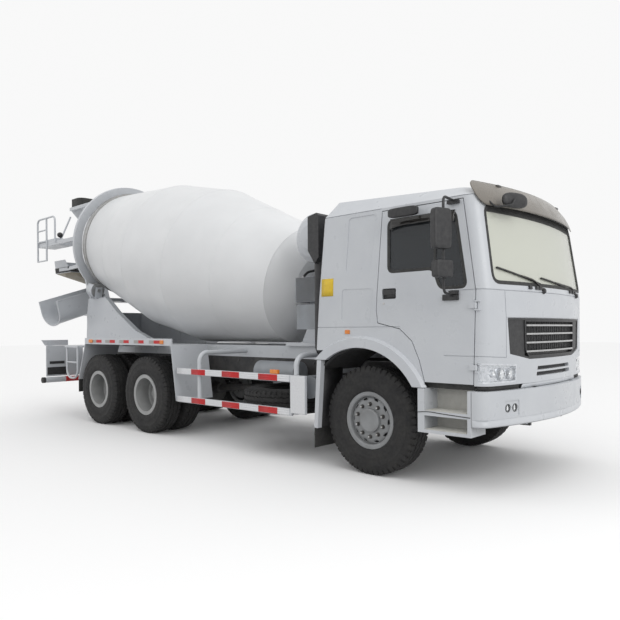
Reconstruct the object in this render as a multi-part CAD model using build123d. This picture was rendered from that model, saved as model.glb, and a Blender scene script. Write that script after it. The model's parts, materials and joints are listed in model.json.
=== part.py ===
# Concrete mixer truck with three axles: hollow tilting cab, frame with engine and axles,
# inclined drum on its pedestals, and the charging hopper, funnel and chute at the rear.
# Millimetres. +X points forward, +Y to the left and +Z up.
# Every x below is measured from the front axle and every z from the ground.
# The finished pieces are shifted along X, so that the origin lies under the middle of the length.
from functools import cache
from math import atan2, cos, radians, sin, sqrt
import os

from build123d import *

# Overall and running gear
wheelbase = 4025.0
bogie_spacing = 1350.0
tyre_radius = 560.0
tyre_width = 300.0
rim_seat_radius = 254.0
rim_flange_radius = 296.0
front_track_half = 1011.0
twin_outer_y = 1090.0
twin_inner_y = 740.0
kingpin_y = 900.0
kingpin_radius = 26.0
spindle_radius = 45.0
rear_spindle_radius = 55.0
hub_radius = 95.0
brake_drum_radius = 205.0
running_gap = 0.08
roller_gap = 0.3

# Steering
arm_x = -230.0
arm_y = kingpin_y - 85.0
tie_rod_z = 410.0
ball_pin_radius = 14.0
stud_gap = 1.0
ear_low = (440.0, 492.0)
ear_high = (628.0, 680.0)
boss_half = 62.0

# Frame
rail_outer_y = 425.0
rail_flange = 80.0
rail_wall = 8.0
rail_top = 1120.0
rail_height = 300.0
frame_front_x = 1280.0
frame_rear_x = -7350.0
subframe_front_x = -800.0
subframe_height = 165.0
front_eye_x = 1365.0
rear_eye_x = -7500.0
eye_radius = 21.0
guard_outer_y = 1245.0

# Cab
cab_half_width = 1200.0
cab_wall = 50.0
cab_front_x = 1470.0
cab_rear_x = -653.0
cab_rear_lean = 0.077
cab_front_radius = 4700.0
cab_corner_radius = 130.0
cab_sill_z = 996.0
cab_rear_bottom_z = 1272.0
nose_bottom_z = 985.0
nose_top_z = 1836.0
crease_line_z = 1593.0
belt_z = 1848.0
eaves_z = 2700.0
roof_front_z = 2812.0
roof_rear_z = 2890.0
floor_z = 1300.0
floor_thickness = 40.0
tunnel_half_width = 470.0
tunnel_top_z = 1520.0
screen_lean = 0.155
door_gap = 8.0
door_front_x = 1190.0
door_top_z = 2665.0
door_swing_x = 1220.0
door_swing_y = cab_half_width + 6.0
door_pin_radius = 7.0
hinge_heights = (1150.0, 1700.0)
handle_depth = 16.0
screen_low_z = 1905.0
screen_high_z = 2600.0
glass_depth = 10.0
glass_thickness = 12.0
seam_width = 7.0
seam_depth = 8.0
panel_depth = 6.0
bar_heights = (1522.0, 1442.0, 1360.0, 1278.0)
bar_height = 18.0
arch_center_x = -68.0
arch_center_z = 547.0
arch_radius = 761.0
flare_radius = 880.0
flare_slope = 40.0
guard_top_z = 1165.0
body_gap = 6.0
cab_hinge_x = 1330.0
cab_hinge_z = 600.0
cab_pin_radius = 22.0

# Bumper and steps
bumper_front_x = 1531.0
bumper_plan_radius = 3500.0
bumper_top_z = 940.0
bumper_bottom_z = 690.0
bumper_wall = 26.0
bumper_rear_x = 1196.0
step_front_x = 1190.0
step_rear_x = 645.0
step_top_z = 939.0
step_bottom_z = 529.0
step_depth = 280.0

# Visor, mirrors and seats
visor_half_width = 1150.0
visor_reach = 3800.0
visor_wall = 12.0
visor_low_z = 2600.0
visor_high_z = 2840.0
visor_low_x = 1418.0
visor_high_x = 1272.0
mirror_x = 1035.0
mirror_y = 1472.0
mirror_turn = 20.0
seat_y = 800.0
seat_z = 1500.0
seat_half_width = 250.0
wheel_x = 850.0
wheel_z = 1850.0
steering_wheel_radius = 225.0

# Drum, measured along its axis from the front crease
drum_tilt = 12.7
crease_x = -1922.0
crease_z = 2095.0
crease_radius = 794.0
barrel_front_s = 1760.0
barrel_rear_s = 2852.0
barrel_radius = 1189.0
ring_s = 4557.0
ring_radius = 940.0
ring_width = 90.0
cone_radius_at_ring = 912.0
mouth_s = 5500.0
mouth_radius = 560.0
head_s = -260.0
head_radius = 480.0
flange_s = -330.0
flange_radius = 300.0
drum_wall = 12.0
roller_radius = 125.0
roller_width = 110.0
roller_angle = 35.0
roller_pin_radius = 30.0

# Rear frame, hopper, funnel and chute
portal_s = 4740.0
portal_thickness = 60.0
portal_inner_radius = 900.0
portal_outer_radius = 1040.0
pedestal_outer_y = 610.0
pedestal_plate = 90.0
pedestal_top_z = 2100.0
hopper_half_width = 580.0
hopper_rear_x = -7640.0
hopper_front_x = -7210.0
hopper_top_z = 3875.0
hopper_rim_height = 165.0
hopper_throat_z = 3480.0
sheet_wall = 10.0
funnel_half_width = 650.0
funnel_rear_x = -8150.0
funnel_front_x = -7470.0
funnel_top_z = 2890.0
funnel_bend_z = 2640.0
funnel_neck_z = 2450.0
funnel_outlet_half = 145.0
funnel_outlet_z = 2230.0
chute_axis_x = -7700.0
chute_heading = -75.2
chute_slope = 16.0
chute_radius = 230.0
chute_length = 1120.0
chute_tail = 160.0
chute_pivot_z = 2030.0
chute_lift = 110.0
chute_pin_radius = 22.0
yoke_drop = 190.0
chute_wall = 8.0
joint_gap = 0.3
post_radius = 55.0

# Tank and boxes behind the cab
tank_x = -1125.0
tank_z = 2598.0
tank_radius = 290.0
tank_half_length = 720.0

# Ends of the whole truck
rear_end_x = funnel_rear_x
front_end_x = bumper_front_x
origin_shift = -(front_end_x + rear_end_x) / 2

# Values that follow from the sizes above
rail_bottom = rail_top - rail_height
rail_inner_y = rail_outer_y - rail_flange
subframe_top = rail_top + subframe_height
axle_z = tyre_radius
rear_axle_x = (-wheelbase, -wheelbase - bogie_spacing)
bogie_x = -wheelbase - bogie_spacing / 2
mid_y = (twin_outer_y + twin_inner_y) / 2
tilt_cos = cos(radians(drum_tilt))
tilt_sin = sin(radians(drum_tilt))

parts = {}


def add(name, *shapes):
    """Store the solids of one node."""
    solids = []
    for shape in shapes:
        solids += list(shape.solids())
    parts[name] = Compound(children=solids) if len(solids) > 1 else solids[0]


def block(x0, x1, y0, y1, z0, z1):
    return Pos((x0 + x1) / 2, (y0 + y1) / 2, (z0 + z1) / 2) * Box(abs(x1 - x0), abs(y1 - y0), abs(z1 - z0))


def side_plate(points, y0, y1):
    """Extrude an outline of (x, z) points from y0 to y1."""
    outline = Polyline(*[(x, y0, z) for x, z in points], close=True)
    return extrude(make_face(outline), amount=y1 - y0, dir=(0, 1, 0))


def plan_plate(points, z0, z1):
    """Extrude an outline of (x, y) points from z0 to z1."""
    outline = Polyline(*[(x, y, z0) for x, y in points], close=True)
    return extrude(make_face(outline), amount=z1 - z0, dir=(0, 0, 1))


def cross_plate(points, x0, x1):
    """Extrude an outline of (y, z) points from x0 to x1."""
    outline = Polyline(*[(x0, y, z) for y, z in points], close=True)
    return extrude(make_face(outline), amount=x1 - x0, dir=(1, 0, 0))


def rod(start, end, radius):
    """Round bar between two points."""
    start, end = Vector(*start), Vector(*end)
    place = Plane(origin=start, z_dir=end - start)
    return place * Cylinder(radius, (end - start).length, align=(Align.CENTER, Align.CENTER, Align.MIN))


def tube(points, radius, bend):
    """Round bar along straight runs joined by arcs."""
    path = FilletPolyline(*points, radius=bend)
    section = Plane(origin=path @ 0, z_dir=path % 0) * Circle(radius)
    return sweep(section, path=path)


def turned(profile, place):
    """Revolve a closed (along, radius) profile about the z axis of place."""
    outline = Polyline(*[(r, 0, s) for s, r in profile], close=True)
    return place * revolve(make_face(outline), axis=Axis.Z)


def other_side(shape):
    return mirror(shape, about=Plane.XZ)


def both(shape):
    return shape, other_side(shape)


def wheel_plane(x, y, side):
    """Plane at an axle whose z axis points outboard."""
    return Plane(origin=(x, side * y, axle_z), x_dir=(1, 0, 0), z_dir=(0, side, 0))


def drum_plane(s=0.0):
    """Plane square to the drum's axis, z to the rear and upwards, y to the left."""
    origin = (crease_x - s * tilt_cos, 0, crease_z + s * tilt_sin)
    return Plane(origin=origin, x_dir=(tilt_sin, 0, tilt_cos), z_dir=(-tilt_cos, 0, tilt_sin))


# Wheels

def tyre(place):
    half = tyre_width / 2
    # along the axle, radius
    profile = [
        (-half * 0.80, rim_seat_radius),
        (-half * 0.80, rim_flange_radius),
        (-half * 0.92, rim_flange_radius + 4),
        (-half, (rim_flange_radius + tyre_radius) / 2),
        (-half * 0.93, tyre_radius - 48),
        (-half * 0.80, tyre_radius - 8),
        (-half * 0.45, tyre_radius),
        (half * 0.45, tyre_radius),
        (half * 0.80, tyre_radius - 8),
        (half * 0.93, tyre_radius - 48),
        (half, (rim_flange_radius + tyre_radius) / 2),
        (half * 0.92, rim_flange_radius + 4),
        (half * 0.80, rim_flange_radius),
        (half * 0.80, rim_seat_radius),
    ]
    return turned(profile, place)


def rim_barrel(place):
    """Rim with its two flanges."""
    half = tyre_width / 2 * 0.80
    lip = half + 12
    wall = 10
    barrel = [
        (-lip, rim_seat_radius - wall), (-lip, rim_flange_radius), (-half, rim_flange_radius),
        (-half, rim_seat_radius), (half, rim_seat_radius), (half, rim_flange_radius),
        (lip, rim_flange_radius), (lip, rim_seat_radius - wall),
    ]
    return turned(barrel, place)


def polar_holes(place, radius, pitch_radius, count, s0, s1, start=0.0):
    """Cutters on a circle, along the axle from s0 to s1."""
    cutters = []
    for i in range(count):
        angle = radians(start + i * 360 / count)
        foot = place * Pos(pitch_radius * cos(angle), pitch_radius * sin(angle), s0)
        cutters.append(foot * Cylinder(radius, s1 - s0, align=(Align.CENTER, Align.CENTER, Align.MIN)))
    return cutters


def front_rim(place):
    """Rim, dished disc with hand holes, and hub with its brake drum, measured outboard of the tyre's middle."""
    disc_s, disc_t = 92.0, 14.0
    seat = rim_seat_radius - 9
    rim = rim_barrel(place) + turned([(disc_s, 0), (disc_s, seat), (disc_s + disc_t, seat), (disc_s + disc_t, 0)], place)
    inner_face = kingpin_y + 8 - front_track_half
    hub = [(inner_face + 90, spindle_radius + running_gap), (inner_face + 90, brake_drum_radius),
           (inner_face, brake_drum_radius), (inner_face, brake_drum_radius - 14),
           (inner_face + 76, brake_drum_radius - 14), (inner_face + 76, spindle_radius + running_gap)]
    hub_core = [(inner_face + 80, spindle_radius + running_gap), (inner_face + 80, hub_radius + 10),
                (disc_s, hub_radius + 10), (disc_s, spindle_radius + running_gap)]
    cap = [(disc_s + disc_t, 0), (disc_s + disc_t, 118), (disc_s + disc_t + 24, 112), (disc_s + disc_t + 30, 0)]
    rim = rim + turned(hub, place) + turned(hub_core, place) + turned(cap, place)
    for cutter in polar_holes(place, 20, 205, 10, disc_s - 5, disc_s + disc_t + 5, start=18):
        rim -= cutter
    return rim


def rear_rims(place):
    """Two rims back to back, with hub and brake drum, measured outboard of the middle of the pair."""
    half_gap = (twin_outer_y - twin_inner_y) / 2
    disc_t = 14.0
    seat = rim_seat_radius - 9
    dish = [(0, 0), (0, 222), (60, seat), (90, seat), (70, seat - 14), (disc_t, 208), (disc_t, 0)]
    outer = rim_barrel(place * Pos(0, 0, half_gap)) + turned(dish, place)
    inner = rim_barrel(place * Pos(0, 0, -half_gap)) + turned([(-s, r) for s, r in dish], place)
    bore = rear_spindle_radius + running_gap
    hub = [(-300, bore), (-300, brake_drum_radius), (-60, brake_drum_radius), (-60, 150), (60, 120),
           (120, 112), (120, 0), (96, 0), (96, bore)]
    rims = outer + inner + turned(hub, place)
    rims -= turned([(-20, 0), (-20, bore), (96, bore), (96, 0)], place)
    for cutter in polar_holes(place, 26, 205, 8, -disc_t - 5, disc_t + 5, start=22.5):
        rims -= cutter
    return rims


def wheels():
    for side, name in ((-1, "right"), (1, "left")):
        place = wheel_plane(0, front_track_half, side)
        add(f"front_tyre_{name}", tyre(place))
        add(f"front_rim_{name}", front_rim(place))
        for number, x in enumerate(rear_axle_x, start=1):
            outer = wheel_plane(x, twin_outer_y, side)
            inner = wheel_plane(x, twin_inner_y, side)
            add(f"rear_tyres_{number}_{name}", tyre(outer), tyre(inner))
            add(f"rear_rims_{number}_{name}", rear_rims(wheel_plane(x, mid_y, side)))


# Steering and axles

def knuckle():
    """Right steering knuckle: fork, spindle and arm."""
    y_in, y_out = -kingpin_y + 55, -kingpin_y - 60
    fork = block(-55, 55, y_out, y_in, *ear_low) + block(-55, 55, y_out, y_in, *ear_high)
    fork += block(-60, 60, y_out - 24, y_out, ear_low[0], ear_high[1])
    fork -= rod((0, -kingpin_y, 400), (0, -kingpin_y, 720), kingpin_radius + running_gap)
    fork += rod((0, y_out - 10, axle_z), (0, -front_track_half - 70, axle_z), spindle_radius)
    arm = block(arm_x - 25, -30, -arm_y - 20, -arm_y + 20, ear_low[0], ear_low[0] + 34)
    arm += block(-56, 30, -kingpin_y - 30, -arm_y + 20, ear_low[0], ear_low[0] + 34)
    arm -= rod((0, -kingpin_y, 400), (0, -kingpin_y, 720), kingpin_radius + running_gap)
    return fork + arm


def knuckle_pin():
    """Ball pin of the right knuckle, which the tie rod turns on."""
    return rod((arm_x, -arm_y, tie_rod_z - 20), (arm_x, -arm_y, ear_low[0] + 5), ball_pin_radius)


def tie_rod():
    bar = rod((arm_x, -arm_y + 25, tie_rod_z), (arm_x, arm_y - 25, tie_rod_z), 20)
    for side in (-1, 1):
        bar += rod((arm_x, side * arm_y, tie_rod_z - 22), (arm_x, side * arm_y, tie_rod_z + 22), 32)
    bar -= rod((arm_x, -arm_y, tie_rod_z - 30), (arm_x, -arm_y, tie_rod_z + 30), ball_pin_radius + running_gap)
    # the left ball stud ends under the left arm
    return bar + rod((arm_x, arm_y, tie_rod_z), (arm_x, arm_y, ear_low[0] - stud_gap), ball_pin_radius)


def front_axle():
    """Dropped beam with kingpins, and the leaf springs that hang it from the rails."""
    beam = block(-50, 50, -700, 700, 430, 540)
    for side in (-1, 1):
        beam += block(-44, 44, side * 640, side * (kingpin_y - 20), 500, 610)
        beam += rod((0, side * kingpin_y, axle_z - boss_half), (0, side * kingpin_y, axle_z + boss_half), 48)
        beam += rod((0, side * kingpin_y, ear_low[0]), (0, side * kingpin_y, ear_high[1]), kingpin_radius)
    # spring outline, x and z, with the hangers under the rail at both ends
    spring = [(-760, rail_bottom), (-760, 720), (-700, 700), (-400, 640), (-110, 560), (-60, 539), (60, 539),
              (110, 560), (400, 640), (700, 700), (760, 720), (760, rail_bottom), (690, rail_bottom),
              (690, 735), (400, 690), (0, 640), (-400, 690), (-690, 735), (-690, rail_bottom)]
    for side in (-1, 1):
        beam += side_plate(spring, side * rail_inner_y, side * rail_outer_y)
    return beam


def rear_axles():
    """Two driven axles, the springs that rock on the trunnion, and the propeller shafts."""
    result = None
    for x in rear_axle_x:
        axle = rod((x, -580, axle_z), (x, 580, axle_z), 78)
        for side in (-1, 1):
            axle += rod((x, side * 570, axle_z), (x, side * (mid_y + 90), axle_z), rear_spindle_radius)
            axle += block(x - 60, x + 60, side * 445, side * 535, axle_z, 652)
        banjo = Plane(origin=(x, 0, axle_z), z_dir=(1, 0, 0)) * Cylinder(225, 230)
        banjo += rod((x, 0, axle_z + 30), (x + 260, 0, axle_z + 30), 90)
        result = axle + banjo if result is None else result + axle + banjo
    # spring outline about the trunnion
    reach = bogie_spacing / 2
    spring = [(bogie_x - reach - 70, 651), (bogie_x + reach + 70, 651), (bogie_x + reach + 70, 682),
              (bogie_x + 300, 740), (bogie_x - 300, 740), (bogie_x - reach - 70, 682)]
    hanger = [(bogie_x - 90, 545), (bogie_x + 90, 545), (bogie_x + 190, rail_bottom), (bogie_x - 190, rail_bottom)]
    result += rod((bogie_x, -540, 600), (bogie_x, 540, 600), 60)
    for side in (-1, 1):
        result += side_plate(spring, side * 450, side * 530)
        result += side_plate(hanger, side * rail_inner_y, side * rail_outer_y)
    result += rod((-886, 0, 798), (rear_axle_x[0] + 255, 0, axle_z + 30), 45)
    result += rod((rear_axle_x[0] - 100, 0, axle_z + 30), (rear_axle_x[1] + 255, 0, axle_z + 30), 45)
    return result


# Frame and drive

def chassis_frame():
    """Channel rails, cross members, cab hinge brackets and the towing eyes."""
    result = None
    for side in (-1, 1):
        rail = block(frame_rear_x, frame_front_x, side * rail_inner_y, side * rail_outer_y, rail_bottom, rail_top)
        rail -= block(frame_rear_x - 1, frame_front_x + 1, side * (rail_inner_y - 1),
                      side * (rail_outer_y - rail_wall), rail_bottom + rail_wall, rail_top - rail_wall)
        bracket = [(frame_front_x, 1000), (frame_front_x, 560), (cab_hinge_x + 50, 560), (cab_hinge_x + 50, 640),
                   (cab_hinge_x, 700), (cab_hinge_x, 1000)]
        rail += side_plate(bracket, side * (rail_outer_y - 40), side * rail_outer_y)
        rail += rod((cab_hinge_x, side * (rail_outer_y - 20), cab_hinge_z), (cab_hinge_x, side * 505, cab_hinge_z),
                    cab_pin_radius)
        result = rail if result is None else result + rail
    web_y = rail_outer_y - rail_wall
    for x in (1230.0, -1100.0, -2300.0, -3500.0, bogie_x, -6100.0, frame_rear_x + 60):
        member = block(x - 40, x + 40, -web_y, web_y, rail_bottom + 60, rail_top - 40)
        member -= block(x - 32, x + 41, -web_y - 1, web_y + 1, rail_bottom + 68, rail_top - 48)
        result += member
    for x0, x1 in ((frame_front_x - 10, front_eye_x + 45), (rear_eye_x - 45, frame_rear_x + 10)):
        eye_x = front_eye_x if x1 > 0 else rear_eye_x
        tow = block(x0, x1, -70, 70, 900, 980)
        web_x = x0 if x1 > 0 else x1
        result += tow + block(web_x - 20, web_x + 20, -web_y, web_y, rail_bottom + 60, rail_top - 40)
        result -= rod((eye_x, 0, 890), (eye_x, 0, 990), eye_radius)
    return result


def subframe():
    """White steel beams under the drum, with cross beams and the drum's front pads."""
    result = None
    for side in (-1, 1):
        beam = block(frame_rear_x, subframe_front_x, side * rail_inner_y, side * rail_outer_y, rail_top, subframe_top)
        result = beam if result is None else result + beam
    for x in (-950.0, -1900.0, -6400.0, frame_rear_x + 60):
        result += block(x - 50, x + 50, -rail_inner_y, rail_inner_y, rail_top + 20, subframe_top - 25)
    return result


def engine():
    """Engine with its gearbox and radiator, as plain blocks on their mounts."""
    web_y = rail_outer_y - rail_wall
    body = block(-150, 950, -290, 290, 650, 1190) + block(-80, 880, -210, 210, 1190, 1440)
    body += block(-300, -150, -240, 240, 680, 1080)
    body += rod((-300, 0, 850), (-760, 0, 830), 190) + rod((-760, 0, 825), (-871, 0, 802), 110)
    for x in (60.0, 780.0):
        body += block(x, x + 90, -web_y, web_y, 930, 980)
    body += block(1040, 1120, -335, 335, 700, 1240)
    body += block(950, 1040, -60, 60, 900, 960)
    return body


def side_tanks():
    """Fuel tank and battery box on the left, air tank and exhaust silencer on the right."""
    tank = block(-2950, -1650, 520, 1130, 560, 1080)
    tank = fillet(tank.edges().filter_by(Axis.X), 70)
    for x in (-2700.0, -1900.0):
        tank += block(x - 30, x + 30, rail_outer_y, 560, 700, 1000)
    battery = block(-1500, -950, 520, 1080, 640, 1000) + block(-1260, -1190, rail_outer_y, 520, 800, 900)
    air = rod((-2160, -640, 960), (-1440, -640, 960), 135)
    for x in (-2000.0, -1600.0):
        air += block(x - 20, x + 20, -640, -rail_outer_y, 930, 990)
    silencer = rod((-860, -1110, 850), (-860, -520, 850), 130) + block(-900, -820, -560, -rail_outer_y, 820, 880)
    return tank, battery, air, silencer


def spare_wheel():
    """Tyre lying flat in its carrier under the right rail."""
    place = Plane(origin=(-1650, -640, 630), x_dir=(1, 0, 0), z_dir=(0, 0, 1))
    ring = tyre(place)
    disc = turned([(-10, 0), (-10, rim_seat_radius), (10, rim_seat_radius), (10, 0)], place)
    hook = rod((-1650, -400, 636), (-1650, -400, rail_bottom), 30)
    return ring + disc + hook


# Front bumper and steps

def bumper_plan(inset, z0, z1, rear_x):
    """Solid with the bumper's outline in plan, set in from the outer skin."""
    half = guard_outer_y - inset
    reach = bumper_plan_radius - inset
    corner_x = bumper_front_x - bumper_plan_radius + sqrt(reach ** 2 - half ** 2)
    mid = (bumper_front_x - inset, 0, z0)
    front = ThreePointArc((corner_x, -half, z0), mid, (corner_x, half, z0))
    sides = Polyline((corner_x, half, z0), (rear_x, half, z0), (rear_x, -half, z0), (corner_x, -half, z0))
    face = make_face([front, sides])
    solid = extrude(face, amount=z1 - z0, dir=(0, 0, 1))
    corners = [e for e in solid.edges().filter_by(Axis.Z) if e.center().X > rear_x + 20]
    return fillet(corners, 110 - inset)


def front_bumper():
    """Bumper skin with its top shelf and the two brackets to the rails."""
    outer = bumper_plan(0, bumper_bottom_z, bumper_top_z, bumper_rear_x)
    hollow = bumper_plan(bumper_wall, bumper_bottom_z - 1, bumper_top_z - 18, bumper_rear_x - 60)
    well = bumper_plan(bumper_wall + 40, bumper_bottom_z - 2, bumper_top_z + 5, bumper_rear_x - 60)
    skin = outer - hollow - well
    inner = bumper_plan(bumper_wall + 1, bumper_top_z - 40, bumper_top_z + 5, bumper_rear_x - 60)
    for side in (-1, 1):
        skin -= inner & block(1200, 1600, side * 430, side * 510, bumper_top_z - 30, bumper_top_z + 5)
    for side in (-1, 1):
        arm = block(cab_hinge_x + 52, bumper_front_x - 60, side * (rail_outer_y - 40), side * rail_outer_y, 760, 850)
        arm += block(frame_front_x, cab_hinge_x + 60, side * (rail_outer_y - 75), side * (rail_outer_y - 41), 760, 850)
        arm += block(cab_hinge_x + 52, cab_hinge_x + 90, side * (rail_outer_y - 75), side * rail_outer_y, 760, 850)
        arm += block(bumper_front_x - 130, bumper_front_x, side * 330, side * 430, bumper_bottom_z + 20, 880)
        skin += arm & bumper_plan(bumper_wall - 4, 600, 1000, bumper_rear_x)
    face = bumper_plan(0, 0, 2000, bumper_rear_x) - bumper_plan(8, -1, 2001, bumper_rear_x - 20)
    for side in (-1, 1):
        # plate round the paired fog lamps, then their sockets
        skin -= face & block(1300, 1600, side * 800, side * 985, 712, 848)
        for y in (side * 846, side * 938):
            skin -= rod((bumper_front_x - 250, y, 780), (bumper_front_x, y, 780), 38)
    return skin


def cab_steps():
    """Two treads behind a white side panel, and the bracket to the rail."""
    y_out, y_in = -guard_outer_y, -guard_outer_y + step_depth
    panel = block(step_rear_x, step_front_x, y_out, y_in, step_bottom_z, step_top_z)
    # foot pockets, low and high z
    for z0, z1 in ((step_bottom_z + 30, 690), (735, step_top_z + 5)):
        panel -= block(step_rear_x + 70, step_front_x - 35, y_out - 5, y_in - 40, z0, z1)
    bracket = block(900, 980, y_in - 20, -rail_outer_y, 800, 860)
    return both(panel + bracket)


def fenders():
    """Mudguards behind the front wheels, and the covers over the rear twins with their lamp rails."""
    pieces = []
    front = [(-608, guard_top_z), (-655, 430), (-667, 430), (-622, guard_top_z)]
    guard = side_plate(front, -1200, -820)
    lip = [(-562, guard_top_z), (-617, 430), (-667, 430), (-622, guard_top_z)]
    guard += side_plate(lip, -guard_outer_y, -1180)
    guard += block(-690, -620, -840, -rail_outer_y, 1000, 1050)
    pieces += both(guard)
    wall = 12
    front_x, rear_x = -3340, rear_axle_x[1] - 385
    arch = [(-3219, 529), (front_x, 1284), (rear_x, 1284), (rear_x - 235, 690), (rear_x - 235 - wall, 690),
            (rear_x - wall, 1284 + wall), (front_x + wall, 1284 + wall), (-3219 + wall, 529)]
    cover = side_plate(arch, -guard_outer_y, -620)
    cover += block(rear_x - wall, front_x + wall, -guard_outer_y, -guard_outer_y + 25, 1284, 1383)
    for x in (-3700.0, bogie_x, -5600.0):
        cover += block(x - 30, x + 30, -640, -rail_outer_y, 1240, 1284)
    pieces += both(cover)
    return pieces


def mud_flaps():
    """Rubber flaps under the mudguards."""
    pieces = []
    rear_x = rear_axle_x[1] - 385 - 235
    # rear x, thickness, outer y, inner y, low z, high z
    for x, wall, y0, y1, z0, z1 in ((-668, 12, -1240, -830, 214, 430), (rear_x - 12, 12, -1240, -620, 480, 690)):
        pieces += both(block(x, x + wall, y0, y1, z0, z1))
    return pieces


def side_guards():
    """Two rails on bent posts, with the plate at the front end."""
    y_out = -guard_outer_y
    guard = block(-3190, -1010, y_out, y_out + 30, 905, 985) + block(-3190, -1010, y_out, y_out + 30, 525, 605)
    guard += block(-1030, -799, y_out, y_out + 30, 555, 985)
    # foot x, top x, top z of each bent post
    for foot_x, top_x, top_z in ((-2761.0, -2700.0, 1203.0), (-985.0, -930.0, 1203.0)):
        y_post = y_out + 30 + 28
        points = [(foot_x, y_post, 540), (foot_x, y_post, top_z), (top_x, -rail_outer_y - 0.0, top_z)]
        guard += tube(points, 30, 120)
    return both(guard - block(-4000, 0, -rail_outer_y, 0, 400, 1400))


def rear_bumper():
    """Underrun bar, lamp panel and splash board on the frame's end."""
    bar = rod((-7400, -1235, 600), (-7400, 1235, 600), 50)
    panel_x = frame_rear_x - 90
    panel = block(panel_x, panel_x + 12, -1150, 1150, 660, 1230)
    # openings in the panel: low y, high y, low z, high z
    for y0, y1, z0, z1 in ((-1120, -780, 700, 820), (-1080, -820, 900, 930), (780, 1120, 700, 820), (820, 1080, 900, 930),
                           (-440, 440, 700, 1235)):
        panel -= block(panel_x - 1, panel_x + 13, y0, y1, z0, z1)
    for side in (-1, 1):
        panel += block(panel_x + 10, frame_rear_x, side * rail_inner_y, side * rail_outer_y, 700, 870)
        panel += block(-7425, -7375, side * rail_inner_y, side * rail_outer_y, 600, 720)
        board = cross_plate([(side * 560, 1226), (side * 1010, 1226), (side * 1080, 1330), (side * 560, 1330)],
                            -7800, -7790)
        board += block(-7791, panel_x + 5, side * 900, side * 960, 1210, 1226)
        board += block(-7791, -7779, side * 900, side * 960, 1210, 1290)
        panel += board
    return bar + panel


def tail_lamps():
    """Lamp blocks behind the panel's openings."""
    pieces = []
    for side in (-1, 1):
        pieces.append(block(frame_rear_x - 96, frame_rear_x - 90, side * 1110, side * 790, 1000, 1100))
    return pieces


# Drum and what carries it

def drum_shell():
    """Hollow drum, open at the mouth."""
    outer = [(flange_s, 0), (flange_s, flange_radius), (head_s, head_radius), (0, crease_radius),
             (barrel_front_s, barrel_radius), (barrel_rear_s, barrel_radius), (ring_s, cone_radius_at_ring),
             (mouth_s, mouth_radius)]
    t = drum_wall
    inner = [(mouth_s, mouth_radius - t), (ring_s, cone_radius_at_ring - t), (barrel_rear_s, barrel_radius - t),
             (barrel_front_s, barrel_radius - t), (t, crease_radius - t), (head_s + t, head_radius - t),
             (flange_s + t, flange_radius - t), (flange_s + t, 0)]
    return turned(outer + inner, drum_plane())


def cone_radius(s):
    """Outer radius of the rear cones at s."""
    if s < ring_s:
        share = (s - barrel_rear_s) / (ring_s - barrel_rear_s)
        return barrel_radius + share * (cone_radius_at_ring - barrel_radius)
    share = (s - ring_s) / (mouth_s - ring_s)
    return cone_radius_at_ring + share * (mouth_radius - cone_radius_at_ring)


def drum_ring():
    """Roller track round the rear cone."""
    s0, s1 = ring_s - ring_width / 2, ring_s + ring_width / 2
    profile = [(s0, cone_radius(s0)), (s0, ring_radius), (s1, ring_radius), (s1, cone_radius(s1)),
               (ring_s, cone_radius(ring_s))]
    return turned(profile, drum_plane())


def roller_place(side):
    """Plane at a support roller, z along the drum's axis."""
    reach = ring_radius + roller_radius + roller_gap
    angle = radians(roller_angle)
    return drum_plane(ring_s) * Pos(-reach * cos(angle), side_sign(side) * reach * sin(angle), 0)


def side_sign(side):
    """The drum plane's y axis points to the truck's left when this is 1."""
    return side * (1 if (drum_plane() * Pos(0, 1, 0)).position.Y > 0 else -1)


def support_roller(side):
    place = roller_place(side)
    roller = place * Cylinder(roller_radius, roller_width)
    return roller + place * Cylinder(roller_pin_radius, roller_width + 110)


def rear_pedestal():
    """Side plates on the subframe, portal round the drum's mouth, and cheeks for the rollers."""
    # outline of the side plate, x and z
    plate = [(-6950, subframe_top), (-6900, 1900), (-6850, pedestal_top_z), (-6250, pedestal_top_z),
             (-5850, 1820), (-5270, 1500), (-4700, 1320), (-4600, subframe_top)]
    result = None
    for side in (-1, 1):
        y0, y1 = side * (pedestal_outer_y - pedestal_plate), side * pedestal_outer_y
        wall = side_plate(plate, y0, y1)
        wall += block(-6950, -4600, side * rail_inner_y, y1, subframe_top, subframe_top + 20)
        result = wall if result is None else result + wall
    result += block(-6940, -6900, -pedestal_outer_y + 10, pedestal_outer_y - 10, subframe_top, 1850)
    result += block(-6880, -6400, -pedestal_outer_y + 10, pedestal_outer_y - 10, pedestal_top_z - 60, pedestal_top_z)
    place = drum_plane(portal_s)
    legs = Polyline((0, -portal_outer_radius), (-1070, -pedestal_outer_y), (-1070, pedestal_outer_y),
                    (0, portal_outer_radius), close=True)
    portal = Circle(portal_outer_radius) + make_face(legs)
    portal = portal - Circle(portal_inner_radius) - Pos(-900, 0) * Rectangle(800, 2 * (pedestal_outer_y - 110))
    portal = place * extrude(portal, amount=portal_thickness / 2, both=True)
    below = block(-7200, -6000, -700, 700, 1900, pedestal_top_z - 5)
    result += portal - below
    for side in (-1, 1):
        seat = roller_place(side)
        for end in (-1, 1):
            cheek = seat * Pos(-95, 0, end * (roller_width / 2 + 8 + 14)) * Box(310, 130, 28)
            result += cheek - below
        result -= seat * Cylinder(roller_pin_radius + running_gap, roller_width + 200)
    for side in (-1, 1):
        slot = roller_place(side) * Cylinder(roller_radius + 12, roller_width + 14)
        result -= slot
        result += roller_cover(side)
    return result


def roller_cover(side):
    """Curved guard round the outer half of a support roller."""
    wide = roller_width + 70
    ring = Cylinder(roller_radius + 26, wide) - Cylinder(roller_radius + 14, wide + 2)
    toward_drum = Rot(0, 0, -side_sign(side) * roller_angle) * Pos(225, 0, 0) * Box(400, 400, wide + 4)
    return roller_place(side) * (ring - toward_drum)


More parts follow.
